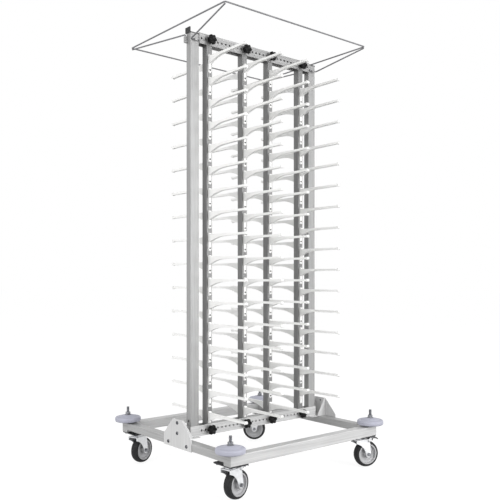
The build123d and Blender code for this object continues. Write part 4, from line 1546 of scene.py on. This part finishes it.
@dataclass
class Studio:
    """The pale floor, soft lamps and camera of the photograph's view."""

    camera_place: Point3 = (-1.870, -2.286, 0.801)
    camera_turn: float = -40.2
    sensor: float = 36.0
    lens: float = 49.56
    shift: Point2 = (-0.0174, 0.0566)
    far_clip: float = 200.0
    lamps: tuple[tuple[str, Point3, Point2, float], ...] = (
        ("front_lamp", (1.0, -3.4, 1.5), (2.6, 2.6), 105.0),
        ("left_lamp", (-3.4, -0.4, 1.4), (2.4, 2.6), 64.0),
    )
    target: Point3 = (0.0, 0.0, 0.9)
    ambient: float = 1.0
    overhead: float = 0.45
    floor_half: float = 40.0
    floor_tone: float = 0.22
    floor_glow: float = 0.86

    def floor_finish(self) -> bpy.types.Material:
        """Build the floor's material: white to the camera, keeping a soft shadow.

        Returns:
            The material.
        """
        finish = bpy.data.materials.new("pale_floor")
        tree = cleared_tree(finish)
        inputs = {0: camera_mask(tree), 1: self.floor_glow}
        glow = add_node(tree, "ShaderNodeMath", {"operation": "MULTIPLY"}, inputs)
        tone = (self.floor_tone, self.floor_tone, self.floor_tone, 1.0)
        matt = add_node(tree, "ShaderNodeBsdfDiffuse", inputs={"Color": tone})
        light = add_node(tree, "ShaderNodeEmission", inputs={"Strength": glow})
        both = add_node(tree, "ShaderNodeAddShader", inputs={0: matt, 1: light})
        add_node(tree, "ShaderNodeOutputMaterial", inputs={"Surface": both})
        return finish

    def build_floor(self) -> None:
        """Lay the floor under the wheels."""
        mesh = bpy.data.meshes.new("floor")
        half = self.floor_half
        corners = [(-half, -half, 0), (half, -half, 0), (half, half, 0), (-half, half, 0)]
        mesh.from_pydata(corners, [], [(0, 1, 2, 3)])
        mesh.materials.append(self.floor_finish())
        link_object("floor", mesh)

    def build_lamps(self) -> None:
        """Hang the area lamps, aimed at the rack's middle."""
        for name, place, size, power in self.lamps:
            lamp = bpy.data.lights.new(name, "AREA")
            lamp.shape = "RECTANGLE"
            lamp.size, lamp.size_y = size
            lamp.energy = power
            hung = link_object(name, lamp)
            hung.location = place
            aim = Vector(self.target) - Vector(place)
            hung.rotation_euler = aim.to_track_quat("-Z", "Y").to_euler()

    def build_world(self) -> None:
        """Set a light all round that fades overhead, with white where it is seen or mirrored."""
        world = bpy.data.worlds.new("studio_light")
        bpy.context.scene.world = world
        tree = cleared_tree(world)
        place = add_node(tree, "ShaderNodeTexCoord").outputs["Generated"]
        height = add_node(tree, "ShaderNodeSeparateXYZ", inputs={"Vector": place}).outputs["Z"]
        inputs = {"Value": height, "To Min": self.ambient, "To Max": self.overhead}
        fade = add_node(tree, "ShaderNodeMapRange", inputs=inputs)
        inputs = {0: camera_mask(tree)}
        for slot, strength in ((1, fade), (2, 1.0)):
            sky = {"Color": srgb("#ffffff"), "Strength": strength}
            inputs[slot] = add_node(tree, "ShaderNodeBackground", inputs=sky)
        both = add_node(tree, "ShaderNodeMixShader", inputs=inputs)
        add_node(tree, "ShaderNodeOutputWorld", inputs={"Surface": both})

    def build_camera(self) -> None:
        """Stand the camera where the photograph was taken."""
        camera = bpy.data.cameras.new("photo_camera")
        camera.sensor_width = self.sensor
        camera.lens = self.lens
        camera.shift_x, camera.shift_y = self.shift
        camera.clip_end = self.far_clip
        stand = link_object("photo_camera", camera)
        stand.location = self.camera_place
        stand.rotation_euler = (math.radians(90), 0, math.radians(self.camera_turn))
        bpy.context.scene.camera = stand

    def build(self) -> None:
        """Build the whole studio."""
        self.build_floor()
        self.build_lamps()
        self.build_world()
        self.build_camera()
        bpy.context.scene.view_settings.view_transform = "Standard"


@dataclass
class PlateRack:
    """The whole cart, built from its sub-assemblies in order.

    A foot is a full row's lowest arm over the bottom rail's underside. The last post's front
    arms stand half a pitch lower than the others', so it holds one fewer.
    """

    frame: dict[str, object]
    corners: tuple[str, ...] = ("front_left", "front_right", "rear_left", "rear_right")
    posts: tuple[int, ...] = (1, 2, 3, 4)
    front_count: int = 17
    front_foot: float = 0.0808
    rear_count: int = 15
    rear_foot: float = 0.084

    def joint(self, name: str) -> dict[str, object]:
        """Return the record's joint of that name."""
        return next(j for j in self.frame["joints"] if j["name"] == name)

    def pitch(self, node: str, count: int, foot: float) -> float:
        """Return the spacing of a full row, from its box, its count and its foot."""
        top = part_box(node)[1].z - ArmRow.thickness / 2 - ArmRow.hub_rise
        return (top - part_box("bottom_rail")[0].z - foot) / (count - 1)

    def build_posts(self) -> None:
        """Build every post's arms and its two knobs."""
        rows = row_tool()
        front_pitch = self.pitch("front_arms_1", self.front_count, self.front_foot)
        rear_pitch = self.pitch("rear_arms_1", self.rear_count, self.rear_foot)
        for post in self.posts:
            fewer = 1 if post == self.posts[-1] else 0
            ArmRow(post, Facing.FRONT, self.front_count - fewer, front_pitch, rows).build()
            ArmRow(post, Facing.REAR, self.rear_count, rear_pitch, rows).build()
            ClampKnob("top", post).build()
            ClampKnob("bottom", post).build()

    def build_corners(self) -> None:
        """Build the four bumpers with their studs and nuts, and the four casters."""
        studs, nuts = bmesh.new(), bmesh.new()
        for place in self.corners:
            bumper = CornerBumper(place)
            bumper.build()
            bumper.fix(studs, nuts)
        seat(finished_piece("bumper_stud_threads", studs, NICKEL), "cart_frame", "bumper_studs")
        seat(finished_piece("bumper_nuts_hexed", nuts, NICKEL), "cart_frame", "bumper_nuts")
        for place in self.corners:
            swivel = self.joint(f"{place}_swivel_turn")["pos_m"]
            axle = Vector(self.joint(f"{place}_wheel_roll")["axis"])
            Caster(place, (swivel[0], swivel[1]), axle, place.startswith("front")).build()

    def build(self) -> None:
        """Build every sub-assembly."""
        TubeFrame().dress(self.frame["nodes"])
        self.build_posts()
        self.build_corners()
        CoverHoop().build()
        UprightCaps().build()
        Fasteners().build()


def main() -> None:
    """Load the CAD frame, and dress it."""
    logging.basicConfig(level=logging.INFO, format="%(name)s %(message)s")
    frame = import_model()
    Studio().build()
    PlateRack(frame).build()


if __name__ == "__main__":
    main()
